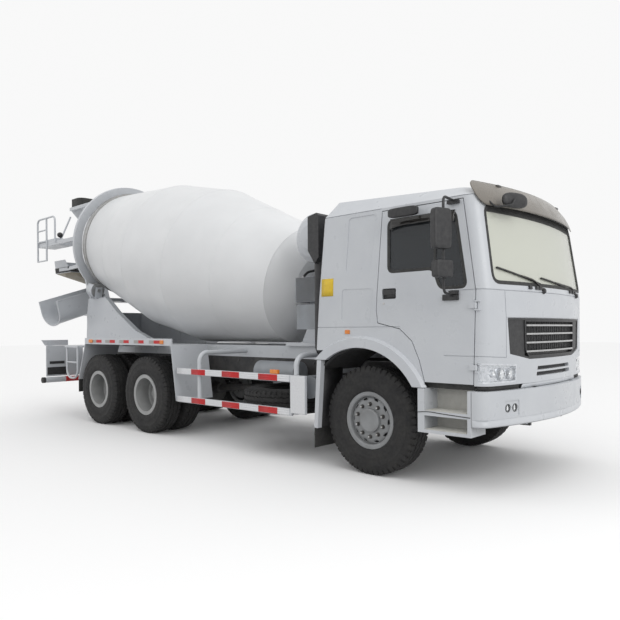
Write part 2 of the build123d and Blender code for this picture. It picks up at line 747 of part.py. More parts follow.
def front_pedestal():
    """Base, side plates and bulkhead for the reducer, and the posts of the water tank."""
    y_in, y_out = 300.0, 480.0
    result = None
    for side in (-1, 1):
        base = block(-1850, -880, side * y_in, side * y_out, subframe_top, subframe_top + 45)
        cheek = [(-1700, subframe_top + 45), (-920, subframe_top + 45), (-1060, 1990), (-1420, 1900)]
        base += side_plate(cheek, side * (y_in), side * (y_in + 25))
        base += block(tank_x - 80, tank_x + 80, side * 420, side * 450, subframe_top + 45, tank_z)
        result = base if result is None else result + base
    result += block(-1340, -1290, -y_in - 10, y_in + 10, subframe_top + 45, 1990)
    result += block(tank_x - 80, tank_x + 80, -450, 450, 2120, 2160)
    return result


def reducer():
    """Drive for the drum: gearbox casing and hydraulic motor on the drum's axis."""
    profile = [(flange_s - running_gap, 0), (flange_s - running_gap, 190), (-420, 190), (-430, 245), (-640, 245),
               (-660, 200), (-760, 190), (-770, 130), (-930, 130), (-930, 0)]
    return turned(profile, drum_plane())


def water_tank():
    """Lying cylinder with dished ends."""
    # along, radius: half of the outline, mirrored below
    end = [(tank_half_length, tank_radius), (tank_half_length + 55, tank_radius - 60),
           (tank_half_length + 95, tank_radius - 150), (tank_half_length + 110, 0)]
    start = [(-s, r) for s, r in reversed(end)]
    return turned(start + end, Plane(origin=(tank_x, 0, tank_z), x_dir=(1, 0, 0), z_dir=(0, 1, 0)))


def cooler_boxes():
    """Oil cooler over the hydraulic oil tank, on the right post."""
    upper = block(-1400, -960, -760, -450, 1830, 2130)
    lower = block(-1400, -940, -740, -450, 1500, 1800)
    return upper + lower + block(-1220, -1040, -700, -451, 1800, 1830)


def intake_snorkel():
    """Air intake that stands behind the cab, with its duct down to the frame."""
    # outline of the head, x and z
    head = side_plate([(-860, 2380), (-860, 2760), (-730, 2790), (-700, 2760), (-700, 2300), (-760, 2230)], -1120, -900)
    duct = tube([(-785, -1000, 2300), (-785, -1000, 1210), (-785, -rail_outer_y - 60, 1210)], 62, 120)
    return head + duct + block(-850, -760, -rail_outer_y - 90, -rail_outer_y, 1140, 1280)


# Hopper, funnel, chute, ladder

def tapered(top, bottom, inset, reach):
    """Solid between two rectangles. Each end is x low, x high, half width, z."""
    faces = []
    for (x0, x1, half, z), away in ((bottom, -reach), (top, reach)):
        faces.append(Pos((x0 + x1) / 2, 0, z + away) * Rectangle(x1 - x0 - 2 * inset, 2 * (half - inset)))
    return loft(faces, ruled=True)


def open_cavity(top, bottom, wall):
    return tapered(top, bottom, wall, 1.0)


def open_bin(top, bottom, wall):
    """Tapered bin, open at both ends."""
    return tapered(top, bottom, 0.0, 0.0) - open_cavity(top, bottom, wall)


def hopper():
    """Charging hopper behind and above the drum's mouth, on two arms from the portal."""
    top = (hopper_rear_x, hopper_front_x, hopper_half_width, hopper_top_z)
    throat = (-7560, -7260, 260, hopper_throat_z)
    body = open_bin(top, throat, sheet_wall)
    for side in (-1, 1):
        y0, y1 = side * (hopper_half_width - 5), side * (hopper_half_width + 35)
        body += block(-7560, -6392, y0, y1, hopper_top_z - 60, hopper_top_z)
    inner = open_cavity(top, throat, sheet_wall)
    return body - inner


def hopper_rim():
    """Rubber collar on top of the hopper."""
    rim = block(hopper_rear_x, hopper_front_x, -hopper_half_width, hopper_half_width,
                hopper_top_z, hopper_top_z + hopper_rim_height)
    rim = fillet(rim.edges().filter_by(Axis.Z), 130)
    hole = block(hopper_rear_x + 14, hopper_front_x - 14, 14 - hopper_half_width, hopper_half_width - 14,
                 hopper_top_z - 1, hopper_top_z + hopper_rim_height + 1)
    return rim - fillet(hole.edges().filter_by(Axis.Z), 116)


def funnel():
    """Discharge funnel under the drum's mouth, on two arms from the portal."""
    top = (funnel_rear_x, funnel_front_x, funnel_half_width, funnel_top_z)
    bend = (funnel_rear_x + 20, funnel_front_x - 40, funnel_half_width - 20, funnel_bend_z)
    throat = (chute_axis_x - funnel_outlet_half, chute_axis_x + funnel_outlet_half, funnel_outlet_half)
    neck, outlet = (*throat, funnel_neck_z), (*throat, funnel_outlet_z)
    stages = ((top, bend), (bend, neck), (neck, outlet))
    shell = None
    for high, low in stages:
        stage = tapered(high, low, 0.0, 0.0)
        shell = stage if shell is None else shell + stage
    for side in (-1, 1):
        y_in, y_out = side * (funnel_half_width - 16), side * (funnel_half_width + 24)
        arm = [(-6655, side * 780), (-7540, y_in), (-7900, y_in), (-7900, y_out), (-7540, y_out), (-6655, side * 830)]
        shell += plan_plate(arm, 2670, 2730)
    for high, low in stages:
        shell -= open_cavity(high, low, sheet_wall)
    clear = [(funnel_front_x + 20, 2700), (funnel_front_x + 20, 3000), (-7800, 3000), (-7560, 2700)]
    return shell - side_plate(clear, -700, 700)


def chute_frame():
    """Plane at the chute's tilt pivot, x along the heading, z up."""
    heading = radians(chute_heading)
    return Plane(origin=(chute_axis_x, 0, chute_pivot_z), x_dir=(cos(heading), sin(heading), 0), z_dir=(0, 0, 1))


def chute_swivel():
    """Sleeve on the post, with the yoke that holds the chute."""
    place = chute_frame() * Pos(0, 0, -yoke_drop)
    sleeve = place * Pos(0, 0, -174) * Cylinder(post_radius + 30, 240)
    sleeve -= place * Pos(0, 0, -184) * Cylinder(post_radius + running_gap, 260)
    yoke = place * Pos(0, 0, -42) * Cylinder(post_radius + 30, 24)
    yoke += place * Pos(0, 0, -15) * Box(120, 2 * chute_radius + 116, 30)
    yoke += place * Pos(0, 0, -30) * Box(90, 90, 10)
    for side in (-1, 1):
        yoke += place * Pos(0, side * (chute_radius + 45), (yoke_drop + 45) / 2) * Box(110, 26, yoke_drop + 45)
        hole = chute_frame() * Pos(0, side * (chute_radius + 45), 0) * Rot(90, 0, 0)
        yoke -= hole * Cylinder(chute_pin_radius + running_gap, 80)
    return sleeve + yoke


def chute_trough():
    """Half round trough with a side board on each edge, on two trunnions."""
    place = chute_frame() * Rot(0, chute_slope, 0)
    r, t = chute_radius, chute_wall
    start = Plane(origin=(-chute_tail, 0, chute_lift), x_dir=(0, 1, 0), z_dir=(1, 0, 0))
    end = Plane(origin=(chute_length - 30, 0, chute_lift), x_dir=(0, 1, 0), z_dir=(1, 0, 0))
    upper_half = Pos(0, 2 * r - joint_gap) * Rectangle(4 * r, 4 * r)
    trough = start * extrude(Circle(r) - Circle(r - t) - upper_half, amount=chute_tail + chute_length)
    trough += end * extrude(Circle(r + 14) - Circle(r - t) - upper_half, amount=30)
    boards = []
    for side in (-1, 1):
        trough += Pos(0, side * (r + 6), 30) * Box(90, 24, 150)
        trough += Pos(0, side * (r + 35), 0) * Rot(90, 0, 0) * Cylinder(chute_pin_radius, 70)
        board = start * extrude(Pos(side * (r - t / 2), r / 2) * Rectangle(t, r), amount=chute_tail + chute_length)
        board += start * extrude(Pos(side * (r + 4), r - 6) * Rectangle(16, 12), amount=chute_tail + chute_length)
        board += end * extrude(Pos(side * (r + 3), r / 2) * Rectangle(22, r), amount=30)
        boards.append(place * board)
    return place * trough, *boards


def chute_post():
    """Post and its bracket behind the frame."""
    top_z = chute_pivot_z - yoke_drop
    collar_z = top_z - 294 - roller_gap
    post = rod((chute_axis_x, 0, 1180), (chute_axis_x, 0, top_z - 60), post_radius)
    post += rod((chute_axis_x, 0, collar_z - 30), (chute_axis_x, 0, collar_z), post_radius + 28)
    arm = [(frame_rear_x, 1125), (frame_rear_x, subframe_top - 5), (chute_axis_x - 40, 1400), (chute_axis_x - 40, 1180)]
    result = post
    for side in (-1, 1):
        result += side_plate(arm, side * 40, side * 70)
    result += block(frame_rear_x - 14, frame_rear_x, -rail_outer_y, rail_outer_y, 1085, subframe_top - 5)
    return result


def ladder():
    """Platform beside the hopper with its guard, and the step loop behind the rear wheels."""
    platform = block(-8060, -7300, -1000, -680, 3110, 3230)
    arm = block(-7310, -6550, -1000, -940, 3110, 3180)
    guard = tube([(-7330, -1012, 3150), (-7330, -1012, 3640), (-8060, -1012, 3640), (-8060, -1012, 2830)], 17, 90)
    guard += rod((-7680, -1012, 3640), (-7680, -1012, 2830), 17)
    for z in (2840.0, 3210.0, 3420.0):
        guard += rod((-8060, -1012, z), (-7680, -1012, z), 14)
    guard += rod((-7420, -860, 3225), (-7560, -600, 3700), 16)
    # foot loop behind the rear wheels
    loop = tube([(-6600, -1150, 1240), (-6600, -1150, 690), (-6215, -1150, 690), (-6215, -1150, 1240)], 19, 150)
    loop += rod((-6600, -1150, 960), (-6215, -1150, 960), 14)
    shelf = block(-6640, -6175, -1175, -rail_outer_y, 1215, 1245)
    return platform + arm + guard, loop + shelf


# Cab

def cab_section(z, front_x, rear_x, half, inset, tilt=0.0):
    """Plan outline of the cab at one height, set in by inset."""
    reach = cab_front_radius
    y = half - inset
    front = front_x - inset
    rear = rear_x + inset
    corner_x = front - reach + sqrt(reach ** 2 - y ** 2)
    arc = ThreePointArc((corner_x, -y), (front, 0), (corner_x, y))
    sides = Polyline((corner_x, y), (rear, y), (rear, -y), (corner_x, -y))
    face = make_face([arc, sides])
    corners = face.vertices()
    face = fillet([v for v in corners if v.X > 0], cab_corner_radius - inset)
    face = fillet([v for v in face.vertices() if v.X < rear + 1], 60 - inset * 0.8)
    return Plane(origin=(0, 0, z), x_dir=(cos(tilt), 0, -sin(tilt)), z_dir=(sin(tilt), 0, cos(tilt))) * face


def rear_x_at(z):
    return cab_rear_x + cab_rear_lean * (z - belt_z)


def cab_volume(inset, bottom_z, top_inset):
    """Closed outer or inner volume of the cab."""
    roof_tilt = atan2(roof_rear_z - roof_front_z, 1600.0)
    roof_mid_z = (roof_rear_z + roof_front_z) / 2 - top_inset
    eaves_front = cab_front_x - screen_lean * (eaves_z - belt_z)
    # z, front x, rear x, half width, tilt
    sections = [
        (bottom_z, cab_front_x, rear_x_at(bottom_z), cab_half_width, 0.0),
        (belt_z, cab_front_x, rear_x_at(belt_z), cab_half_width, 0.0),
        (eaves_z, eaves_front, rear_x_at(eaves_z), cab_half_width - 30, 0.0),
        (roof_mid_z, eaves_front - 160, rear_x_at(eaves_z) + 80, cab_half_width - 170, roof_tilt),
    ]
    faces = [cab_section(z, f, r, h, inset, t) for z, f, r, h, t in sections]
    volume = None
    for low, high in zip(faces, faces[1:]):
        piece = loft([low, high], ruled=True)
        volume = piece if volume is None else volume + piece
    return Solid(Shell([flat_face(face) for face in volume.faces()]))


def flat_face(face):
    """Plane face with the same outline where the outline is flat, or else the face itself."""
    try:
        return Face(face.outer_wire())
    except ValueError:
        return face


@cache
def cab_depth(depth):
    """Cab volume whose walls lie this far inside the outer faces."""
    return cab_volume(depth, nose_bottom_z - (10 if depth else 0), depth)


def layer(shape, outer_depth, inner_depth):
    """Part of a shape between two depths under the cab's outer faces."""
    return (shape & cab_depth(outer_depth)) - cab_depth(inner_depth)


def outline_face(points, radius=0.0, grow=0.0):
    """Flat face from an outline of (u, v) points, with round corners, grown or shrunk."""
    face = make_face(Polyline(*points, close=True))
    if radius:
        face = fillet(face.vertices(), radius)
    return offset(face, amount=grow) if grow else face


def front_prism(face):
    """Carry a (y, z) face along X through the front of the cab."""
    return Plane(origin=(900, 0, 0), x_dir=(0, 1, 0), z_dir=(1, 0, 0)) * extrude(face, amount=900)


def side_prism(face):
    """Carry an (x, z) face along Y through the right side of the cab."""
    return Plane(origin=(0, -1000, 0), x_dir=(1, 0, 0), z_dir=(0, -1, 0)) * extrude(face, amount=350)


def mirrored_points(points):
    """Close a half outline of (y, z) points, given from the top centre outwards, on the other side."""
    return points + [(-y, z) for y, z in reversed(points)]


def arch_cutter(radius, y0, y1):
    return rod((arch_center_x, y0, arch_center_z), (arch_center_x, y1, arch_center_z), radius)


def wheel_flare():
    """Lip round the right front wheel opening, from the mudguard to the step."""
    y_out, y_in = -guard_outer_y, -cab_half_width + 5
    lip = arch_cutter(flare_radius, y_out, y_in)
    outer_edge = [e for e in lip.edges().filter_by(GeomType.CIRCLE) if e.center().Y < y_out + 1]
    lip = chamfer(outer_edge, flare_slope, flare_slope * 0.6)
    lip -= arch_cutter(arch_radius, y_out - 10, y_in + 10)
    lip -= block(-1200, arch_center_x, y_out - 10, y_in + 10, -400, guard_top_z + body_gap)
    return lip - block(arch_center_x, 1200, y_out - 10, y_in + 10, -400, step_top_z + body_gap)


def cab_shell_all():
    """Cab walls, roof and floor before doors, screen and nose are split off."""
    outer = cab_volume(0, nose_bottom_z, 0)
    room = cab_volume(cab_wall, nose_bottom_z - 10, cab_wall)
    floor_top = floor_z + floor_thickness
    floor_slab = block(-900, 1600, -1300, 1300, floor_z, floor_top)
    under_half = tunnel_half_width - cab_wall / 2
    hump = block(-900, 950, -tunnel_half_width, tunnel_half_width, floor_z, tunnel_top_z)
    hump_room = block(-901, 925, -under_half, under_half, floor_z - 100, tunnel_top_z - 25)
    inside = (floor_slab + hump) & room
    shell = (outer - room) + inside
    shell -= hump_room
    shell -= block(-900, -250, -1300, 1300, 900, cab_rear_bottom_z)
    shell -= block(500, door_front_x + 10, -1300, 1300, 900, cab_sill_z)
    shell -= arch_cutter(arch_radius, -1300, 1300)
    return shell


def door_outline():
    """Outline of the right door in side view, whose rear edge follows the wheel opening."""
    low_z = cab_sill_z - 20
    return [(703, low_z), (door_front_x, low_z), (1216, 1830), (1085, door_top_z), (205, door_top_z),
            (143, 1687), (160, 1560), (420, 1500), (560, 1380), (640, 1200)]


def window_outline():
    return [(285, 2057), (277, 2560), (1010, 2560), (1128, belt_z + 20), (860, belt_z + 20), (790, 2057)]


def screen_outline():
    return mirrored_points([(1055, screen_high_z), (1085, screen_low_z)])


def nose_outline():
    """Front panel that opens as one piece with the grille: half outline mirrored about the middle."""
    return mirrored_points([(948, nose_top_z), (930, crease_line_z), (930, 1232), (743, 1210), (743, 900)])


def grille_outline():
    return mirrored_points([(911, crease_line_z - 3), (877, 1263), (552, 1206)])


def lamp_outline(side):
    """Headlamp that wraps the cab's corner, as seen from the front."""
    return [(side * 785, 1008), (side * 1300, 1008), (side * 1300, 1196), (side * 775, 1165)]


def seam_cuts():
    """Narrow joints between the cab's outer panels, as faces in front and side view."""
    front, side = None, None
    # joint lines in front view, y and z
    for line in ([(-1300, nose_top_z + 7), (-948, nose_top_z), (948, nose_top_z), (1300, nose_top_z + 7)],
                 [(-948, nose_top_z), (-930, crease_line_z), (930, crease_line_z), (948, nose_top_z)],
                 [(-930, crease_line_z), (-930, 1232), (-1300, 1255)], [(930, crease_line_z), (930, 1232), (1300, 1255)],
                 [(-1300, eaves_z - 4), (1300, eaves_z - 4)]):
        piece = trace(Polyline(*line), line_width=seam_width)
        front = piece if front is None else front + piece
    # joint lines in side view, x and z
    for line in ([(-700, 1518), (420, 1518)], [(-700, eaves_z - 4), (190, eaves_z - 4)],
                 [(1220, nose_top_z + 7), (1300, nose_top_z + 7)]):
        piece = trace(Polyline(*line), line_width=seam_width)
        side = piece if side is None else side + piece
    return front_prism(front), side_prism(side)


def cab_hinge_arm():
    """Right arm from the tilt hinge to the cab's floor."""
    hinge_low, hinge_high = cab_hinge_z - 20, cab_hinge_z + 30
    leg = [(cab_hinge_x - 42, hinge_low), (cab_hinge_x + 42, hinge_low), (cab_hinge_x + 42, hinge_high),
           (930, 1180), (930, floor_z + 5), (820, floor_z + 5), (820, 1150)]
    arm = side_plate(leg, -490, -450)
    return arm - rod((cab_hinge_x, -500, cab_hinge_z), (cab_hinge_x, -440, cab_hinge_z), cab_pin_radius + running_gap)


def hinge_line(z, half, radius):
    """Round bar on the right door's swing axis."""
    return rod((door_swing_x, -door_swing_y, z - half), (door_swing_x, -door_swing_y, z + half), radius)


def hinge_pin(z):
    """Hinge pin between two ears on the right pillar."""
    x, face_y = door_swing_x, -cab_half_width
    pin = hinge_line(z, 46, door_pin_radius)
    for z0, z1 in ((z + 31, z + 46), (z - 46, z - 31)):
        pin += block(x - 8, x + 12, face_y - 14, face_y - 2, z0, z1)
        pin += block(x + 10, x + 40, face_y - 14, face_y + 10, z0, z1)
    return pin


def hinge_knuckle(z):
    """Knuckle of the right door round the pin, on a strap."""
    ring = hinge_line(z, 25, door_pin_radius + 5)
    ring += block(door_swing_x - 60, door_swing_x - 6, -cab_half_width - 15, -cab_half_width + 3, z - 25, z + 25)
    return ring - hinge_line(z, 30, door_pin_radius + running_gap)


def hinge_room(z):
    """Recess of the right pillar round the knuckle."""
    recess = block(door_front_x, door_swing_x + 17, -cab_half_width - 30, -cab_half_width + 10, z - 31, z + 31)
    return recess + hinge_line(z, 31, door_pin_radius + 10)


def skin_joints(shell):
    """Cut the joints and pressed panels into the cab's outer faces."""
    front_seams, side_seams = seam_cuts()
    seam_floor, panel_floor = cab_depth(seam_depth), cab_depth(panel_depth)
    # pressed panels behind the door, x and z
    upper = [(-223, 2654), (134, 2654), (62, 2077), (-259, 2077)]
    lower = [(-303, 1915), (107, 1906), (62, 1596), (-314, 1572)]
    flat_floor = block(-1000, 1600, -cab_half_width + panel_depth, 0, 900, 3000)
    shell -= front_seams - seam_floor
    for cutter in both(side_seams - seam_floor):
        shell -= cutter
    for points, floor in ((upper, panel_floor), (lower, flat_floor)):
        for cutter in both(side_prism(outline_face(points, radius=40)) - floor):
            shell -= cutter
    return shell


def cab_nodes():
    shell = skin_joints(cab_shell_all())
    glass_face, glass_back = cab_depth(glass_depth), cab_depth(glass_depth + glass_thickness)
    window = side_prism(outline_face(window_outline(), radius=45))
    pane = (side_prism(outline_face(window_outline(), radius=45, grow=-0.5)) & glass_face) - glass_back
    # handle recess, x and z
    handle = [(212, 1790), (376, 1790), (376, 1896), (212, 1896)]
    recess = side_prism(outline_face(handle, radius=18)) - cab_depth(handle_depth)
    door = (shell & side_prism(outline_face(door_outline()))) - cab_depth(cab_wall) - window - recess
    for flare in both(wheel_flare()):
        shell += flare
    for cutter in both(side_prism(outline_face(door_outline(), grow=door_gap)) - cab_depth(cab_wall + door_gap)):
        shell -= cutter
    for z in hinge_heights:
        door = door - hinge_line(z, 52, door_pin_radius + 10) + hinge_knuckle(z)
        for cutter in both(hinge_room(z)):
            shell -= cutter
        for pin in both(hinge_pin(z)):
            shell += pin
    for arm in both(cab_hinge_arm()):
        shell += arm
    screen_face = outline_face(screen_outline(), radius=60)
    shell -= front_prism(screen_face)
    screen = (front_prism(offset(screen_face, amount=-0.5)) & glass_face) - glass_back
    nose_zone = front_prism(outline_face(nose_outline())) & block(1250, 1700, -1300, 1300, 800, 2000)
    nose = shell & nose_zone
    shell -= nose_zone
    grille_hole = outline_face(grille_outline(), radius=12)
    nose -= front_prism(grille_hole)
    for points in lower_slots():
        nose -= front_prism(outline_face(points, radius=8))
    lamps = []
    for side in (-1, 1):
        zone = front_prism(outline_face(lamp_outline(side))) & block(1236, 1700, -1300, 1300, 900, 1300)
        shell -= zone
        nose -= zone
        lamps.append(headlamp(zone, side))
    add("cab_shell", shell)
    add("cab_nose", nose)
    add("grille", *grille(grille_hole))
    add("headlamps", *lamps)
    add("windscreen", screen)
    add("door_right", door)
    add("door_left", other_side(door))
    add("door_glass_right", pane)
    add("door_glass_left", other_side(pane))


def lower_slots():
    """Two air slots under the grille, y and z."""
    return (mirrored_points([(404, 1134), (418, 1098)]), mirrored_points([(422, 1080), (435, 1042)]))


def grille(hole):
    """Dark frame, side wings and backing plate, with four louvre bars between them."""
    plug = front_prism(offset(hole, amount=-0.5))
    body = layer(plug, 36, 46)
    body += layer(plug - front_prism(offset(hole, amount=-20)), 5, 37)
    wing = [(-905, crease_line_z - 10), (-640, crease_line_z - 10), (-625, 1216), (-868, 1268)]
    for side in both(layer(front_prism(outline_face(wing)) & plug, 12, 37)):
        body += side
    frame_outline = mirrored_points([(636, crease_line_z - 20), (622, 1290), (560, 1226)])
    inner = outline_face(frame_outline, radius=20)
    body += layer(front_prism(inner) - front_prism(offset(inner, amount=-16)), 3, 37)
    for z in bar_heights:
        z0, z1 = z - bar_height / 2, z + bar_height / 2
        bar = [(-612, z0), (612, z0), (612, z1), (-612, z1)]
        body += layer(front_prism(outline_face(bar)), 7, 37)
    plates = []
    for points in lower_slots():
        plate = front_prism(outline_face(points, radius=8, grow=-joint_gap))
        plates.append(layer(plate, cab_wall - 12, cab_wall - 4))
    return body, *plates


def headlamp(zone, side):
    """Housing that follows the corner, with three round lamps standing in it."""
    housing = layer(zone, 34, cab_wall)
    rim = zone - front_prism(outline_face(lamp_outline(side), grow=-14))
    housing += layer(rim, 0, 36)
    # middle y, z and radius of the round lamps
    for y, z, radius in ((850, 1082, 50), (975, 1086, 56), (1085, 1096, 34)):
        place = Plane(origin=(1150, side * y, z), z_dir=(1, 0, 0))
        barrel = place * Cylinder(radius, 400, align=(Align.CENTER, Align.CENTER, Align.MIN))
        barrel -= place * Cylinder(radius - 8, 400, align=(Align.CENTER, Align.CENTER, Align.MIN))
        housing += layer(barrel, 14, 36)
    return housing


def visor_x(y, z):
    """Outer face of the sun visor at one place."""
    share = (z - visor_low_z) / (visor_high_z - visor_low_z)
    middle = visor_low_x + share * (visor_high_x - visor_low_x)
    return middle - visor_reach + sqrt(visor_reach ** 2 - y ** 2)


def visor_section(z):
    """Curved strip of the sun visor at one height."""
    half, wall = visor_half_width, visor_wall
    end_x, middle_x = visor_x(half, z), visor_x(0, z)
    outer = ThreePointArc((end_x, -half), (middle_x, 0), (end_x, half))
    inner = ThreePointArc((end_x - wall, half), (middle_x - wall, 0), (end_x - wall, -half))
    ends = [Line((end_x, half), (end_x - wall, half)), Line((end_x - wall, -half), (end_x, -half))]
    return Pos(0, 0, z) * make_face([outer, inner, *ends])


def sun_visor():
    """Curved sheet over the windscreen on brackets from the roof, with the front mirror at its right end."""
    visor = loft([visor_section(visor_low_z), visor_section(visor_high_z)], ruled=True)
    for side in (-1, 1):
        for y in (side * 350, side * 900):
            visor += rod((1100, y, 2765), (visor_x(y, 2765) - 9, y, 2765), 8)
    visor -= cab_volume(-0.3, cab_sill_z, -0.3)
    arm_x0 = visor_x(1010, visor_low_z + 40) - 8
    arm = tube([(arm_x0, -1010, visor_low_z + 40), (arm_x0 + 60, -1010, visor_low_z - 20),
                (1440, -935, visor_low_z - 10), (1440, -880, visor_low_z + 50)], 9, 25)
    head = Pos(1420, -830, visor_low_z + 45) * Rot(0, 100, 20) * extrude(Ellipse(70, 130), amount=55)
    return visor + arm + head


def mirror_head(x, y, z, width, depth, height):
    """Round cornered mirror housing, turned towards the driver."""
    body = Box(depth, width, height)
    body = fillet(body.edges().filter_by(Axis.Z), depth * 0.4)
    return Pos(x, y, z) * Rot(0, 0, mirror_turn) * body


def mirrors():
    """Right hand mirrors on their bow."""
    y_bow = -mirror_y + 40
    bow = tube([(1000, -1180, 2655), (mirror_x, y_bow, 2655), (mirror_x, y_bow, 1815), (990, -1210, 1795)], 12, 60)
    bow += mirror_head(mirror_x, -mirror_y, 2366, 200, 75, 355) + mirror_head(mirror_x + 12, -mirror_y, 2016, 200, 88, 152)
    feet = block(940, 1060, -1215, -1160, 2625, 2660) + block(895, 1060, -1222, -1190, 1750, 1842)
    return bow + (feet - cab_volume(-0.3, cab_sill_z, -0.3))


def kerb_mirror():
    """Flat mirror over the right door's window."""
    head = Pos(520, -1285, 2605) * Rot(0, 4, 0) * fillet(Box(330, 62, 92).edges().filter_by(Axis.Y), 34)
    arm = tube([(600, -1150, 2635), (600, -1235, 2635), (560, -1280, 2605)], 10, 20)
    return head + (arm - cab_volume(-0.3, cab_sill_z, -0.3))


def cab_interior():
    """Dashboard with the steering wheel, seat bases and the bunk's base."""
    floor_top = floor_z + floor_thickness + 0.3
    # dashboard outline, x and z
    dash = [(1700, floor_top), (1250, floor_top), (1215, 1480), (1080, 1560), (1050, 1700), (1140, 1830), (1700, 1830)]
    board = side_plate(dash, -1300, 1300) & cab_depth(cab_wall + 12)
    wheel = Pos(wheel_x, seat_y, wheel_z) * Rot(0, -28, 0)
    ring = wheel * Torus(steering_wheel_radius, 15)
    for angle in (90, 210, 330):
        spoke = Pos(steering_wheel_radius / 2, 0, 0) * Box(steering_wheel_radius, 36, 14)
        ring += wheel * Rot(0, 0, angle) * spoke
    ring += wheel * Pos(0, 0, -30) * Cylinder(55, 90)
    ring += rod((wheel_x, seat_y, wheel_z - 10), (1120, seat_y, 1610), 38)
    pieces = [board + ring]
    for side in (-1, 1):
        pieces.append(block(210, 560, side * (seat_y - 190), side * (seat_y + 190), floor_top, seat_z - 0.3))
    half = tunnel_half_width + 10
    bunk = block(-605, -60, -1110, 1110, tunnel_top_z + 0.3, tunnel_top_z + 30)
    for side in (-1, 1):
        bunk += block(-90, -60, side * half, side * 1110, floor_top, tunnel_top_z + 10)
        bunk += block(-605, -575, side * half, side * 1110, floor_top, tunnel_top_z + 10)
    return *pieces, bunk


def seats():
    """Cushions, backs and head rests of two seats, and the bunk's mattress."""
    pieces = []
    for side in (-1, 1):
        y0, y1 = side * seat_y - seat_half_width, side * seat_y + seat_half_width
        pieces.append(block(120, 620, y0, y1, seat_z, seat_z + 140))
        back = [(30, seat_z + 140.3), (170, seat_z + 140.3), (60, 2170), (-60, 2170)]
        pieces.append(side_plate(back, y0 + 10, y1 - 10))
        rest = [(-62, 2170.3), (48, 2170.3), (10, 2340), (-75, 2340)]
        pieces.append(side_plate(rest, y0 + 110, y1 - 110))
    pieces.append(block(-600, -65, -1100, 1100, tunnel_top_z + 30.3, tunnel_top_z + 160))
    return pieces


def write_all():
    os.makedirs("parts", exist_ok=True)
    for name, shape in parts.items():
        export_step(Pos(origin_shift, 0, 0) * shape, f"parts/{name}.step")


def build():
    wheels()
    add("knuckle_right", knuckle() + knuckle_pin())
    add("knuckle_left", other_side(knuckle()))
    for side, name in ((-1, "right"), (1, "left")):
        add(f"support_roller_{name}", support_roller(side))
    add("tie_rod", tie_rod())
    add("front_axle", front_axle())
    add("rear_axles", rear_axles())
    add("chassis_frame", chassis_frame())
    add("subframe", subframe())
    add("engine", engine())
    add("side_tanks", *side_tanks())
    add("spare_wheel", spare_wheel())
    add("front_bumper", front_bumper())
    add("cab_steps", *cab_steps())
    add("fenders", *fenders())
    add("mud_flaps", *mud_flaps())
    add("side_guards", *side_guards())
    add("rear_bumper", rear_bumper())
    add("tail_lamps", *tail_lamps())
    add("drum_shell", drum_shell())
    add("drum_ring", drum_ring())
    add("reducer", reducer())
    add("front_pedestal", front_pedestal() - parts["reducer"] - water_tank())
    add("rear_pedestal", rear_pedestal())
    add("water_tank", water_tank())
    add("cooler_boxes", cooler_boxes())
    add("intake_snorkel", intake_snorkel())
    add("hopper", hopper() - parts["rear_pedestal"])
    add("hopper_rim", hopper_rim())
    add("funnel", funnel() - parts["rear_pedestal"])
    add("chute_swivel", chute_swivel())
    add("chute_trough", *chute_trough())
    add("chute_post", chute_post())
    rail_ladder, foot_loop = ladder()
    add("ladder", rail_ladder - parts["rear_pedestal"] - parts["hopper"], foot_loop)
    cab_nodes()
    add("sun_visor", sun_visor())
    right_mirrors = mirrors()
    add("mirrors_right", right_mirrors, kerb_mirror())
    add("mirrors_left", other_side(right_mirrors))
    add("cab_interior", *cab_interior())
    add("seats", *seats())


build()
write_all()
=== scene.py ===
import json
import bmesh
import bpy
import numpy as np
from math import cos, pi, radians, sin
from mathutils import Matrix, Vector


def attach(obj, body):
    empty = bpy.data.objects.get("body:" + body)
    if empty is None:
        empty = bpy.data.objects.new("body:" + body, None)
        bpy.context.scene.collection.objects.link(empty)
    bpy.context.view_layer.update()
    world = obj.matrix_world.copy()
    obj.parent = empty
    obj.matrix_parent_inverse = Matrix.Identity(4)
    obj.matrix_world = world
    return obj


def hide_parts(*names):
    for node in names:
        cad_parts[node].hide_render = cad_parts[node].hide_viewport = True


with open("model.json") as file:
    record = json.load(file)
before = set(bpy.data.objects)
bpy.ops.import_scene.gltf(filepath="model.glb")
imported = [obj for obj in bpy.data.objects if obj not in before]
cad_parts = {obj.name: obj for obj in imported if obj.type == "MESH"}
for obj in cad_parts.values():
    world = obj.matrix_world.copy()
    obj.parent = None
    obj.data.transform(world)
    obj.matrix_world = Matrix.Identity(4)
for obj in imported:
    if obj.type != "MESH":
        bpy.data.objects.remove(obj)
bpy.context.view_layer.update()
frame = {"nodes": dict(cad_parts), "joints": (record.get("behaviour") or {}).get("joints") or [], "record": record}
print("frame loaded")

# pieces are worked out in truck millimetres, with x from the front axle and z from the ground
joints = {j["name"]: j for j in frame["joints"]}
frontAxleX = joints["steer_right"]["pos_m"][0]
sides = ((-1, "right"), (1, "left"))
rearAxles = ((1, -4025), (2, -5375))


def toRow(points):
    # truck millimetres to row metres
    return np.asarray(points, float) / 1000 + np.array([frontAxleX, 0, 0])


# shapes: each is (points, list of face arrays)

def gridQuads(rows, cols, closeRows=False, closeCols=False):
    # quads between neighbouring points of a rows by cols grid, wrapped where it is closed
    r, c = np.meshgrid(np.arange(rows if closeRows else rows - 1),
                       np.arange(cols if closeCols else cols - 1), indexing="ij")
    r, c = r.ravel(), c.ravel()
    nextR, nextC = (r + 1) % rows, (c + 1) % cols
    return np.stack([r * cols + c, r * cols + nextC, nextR * cols + nextC, nextR * cols + c], axis=1)


def joined(*shapes):
    # several shapes as one, with the faces renumbered
    starts = np.cumsum([0] + [len(points) for points, faces in shapes])
    faces = [group + start for (points, groups), start in zip(shapes, starts) for group in groups]
    return np.concatenate([points for points, groups in shapes]), faces


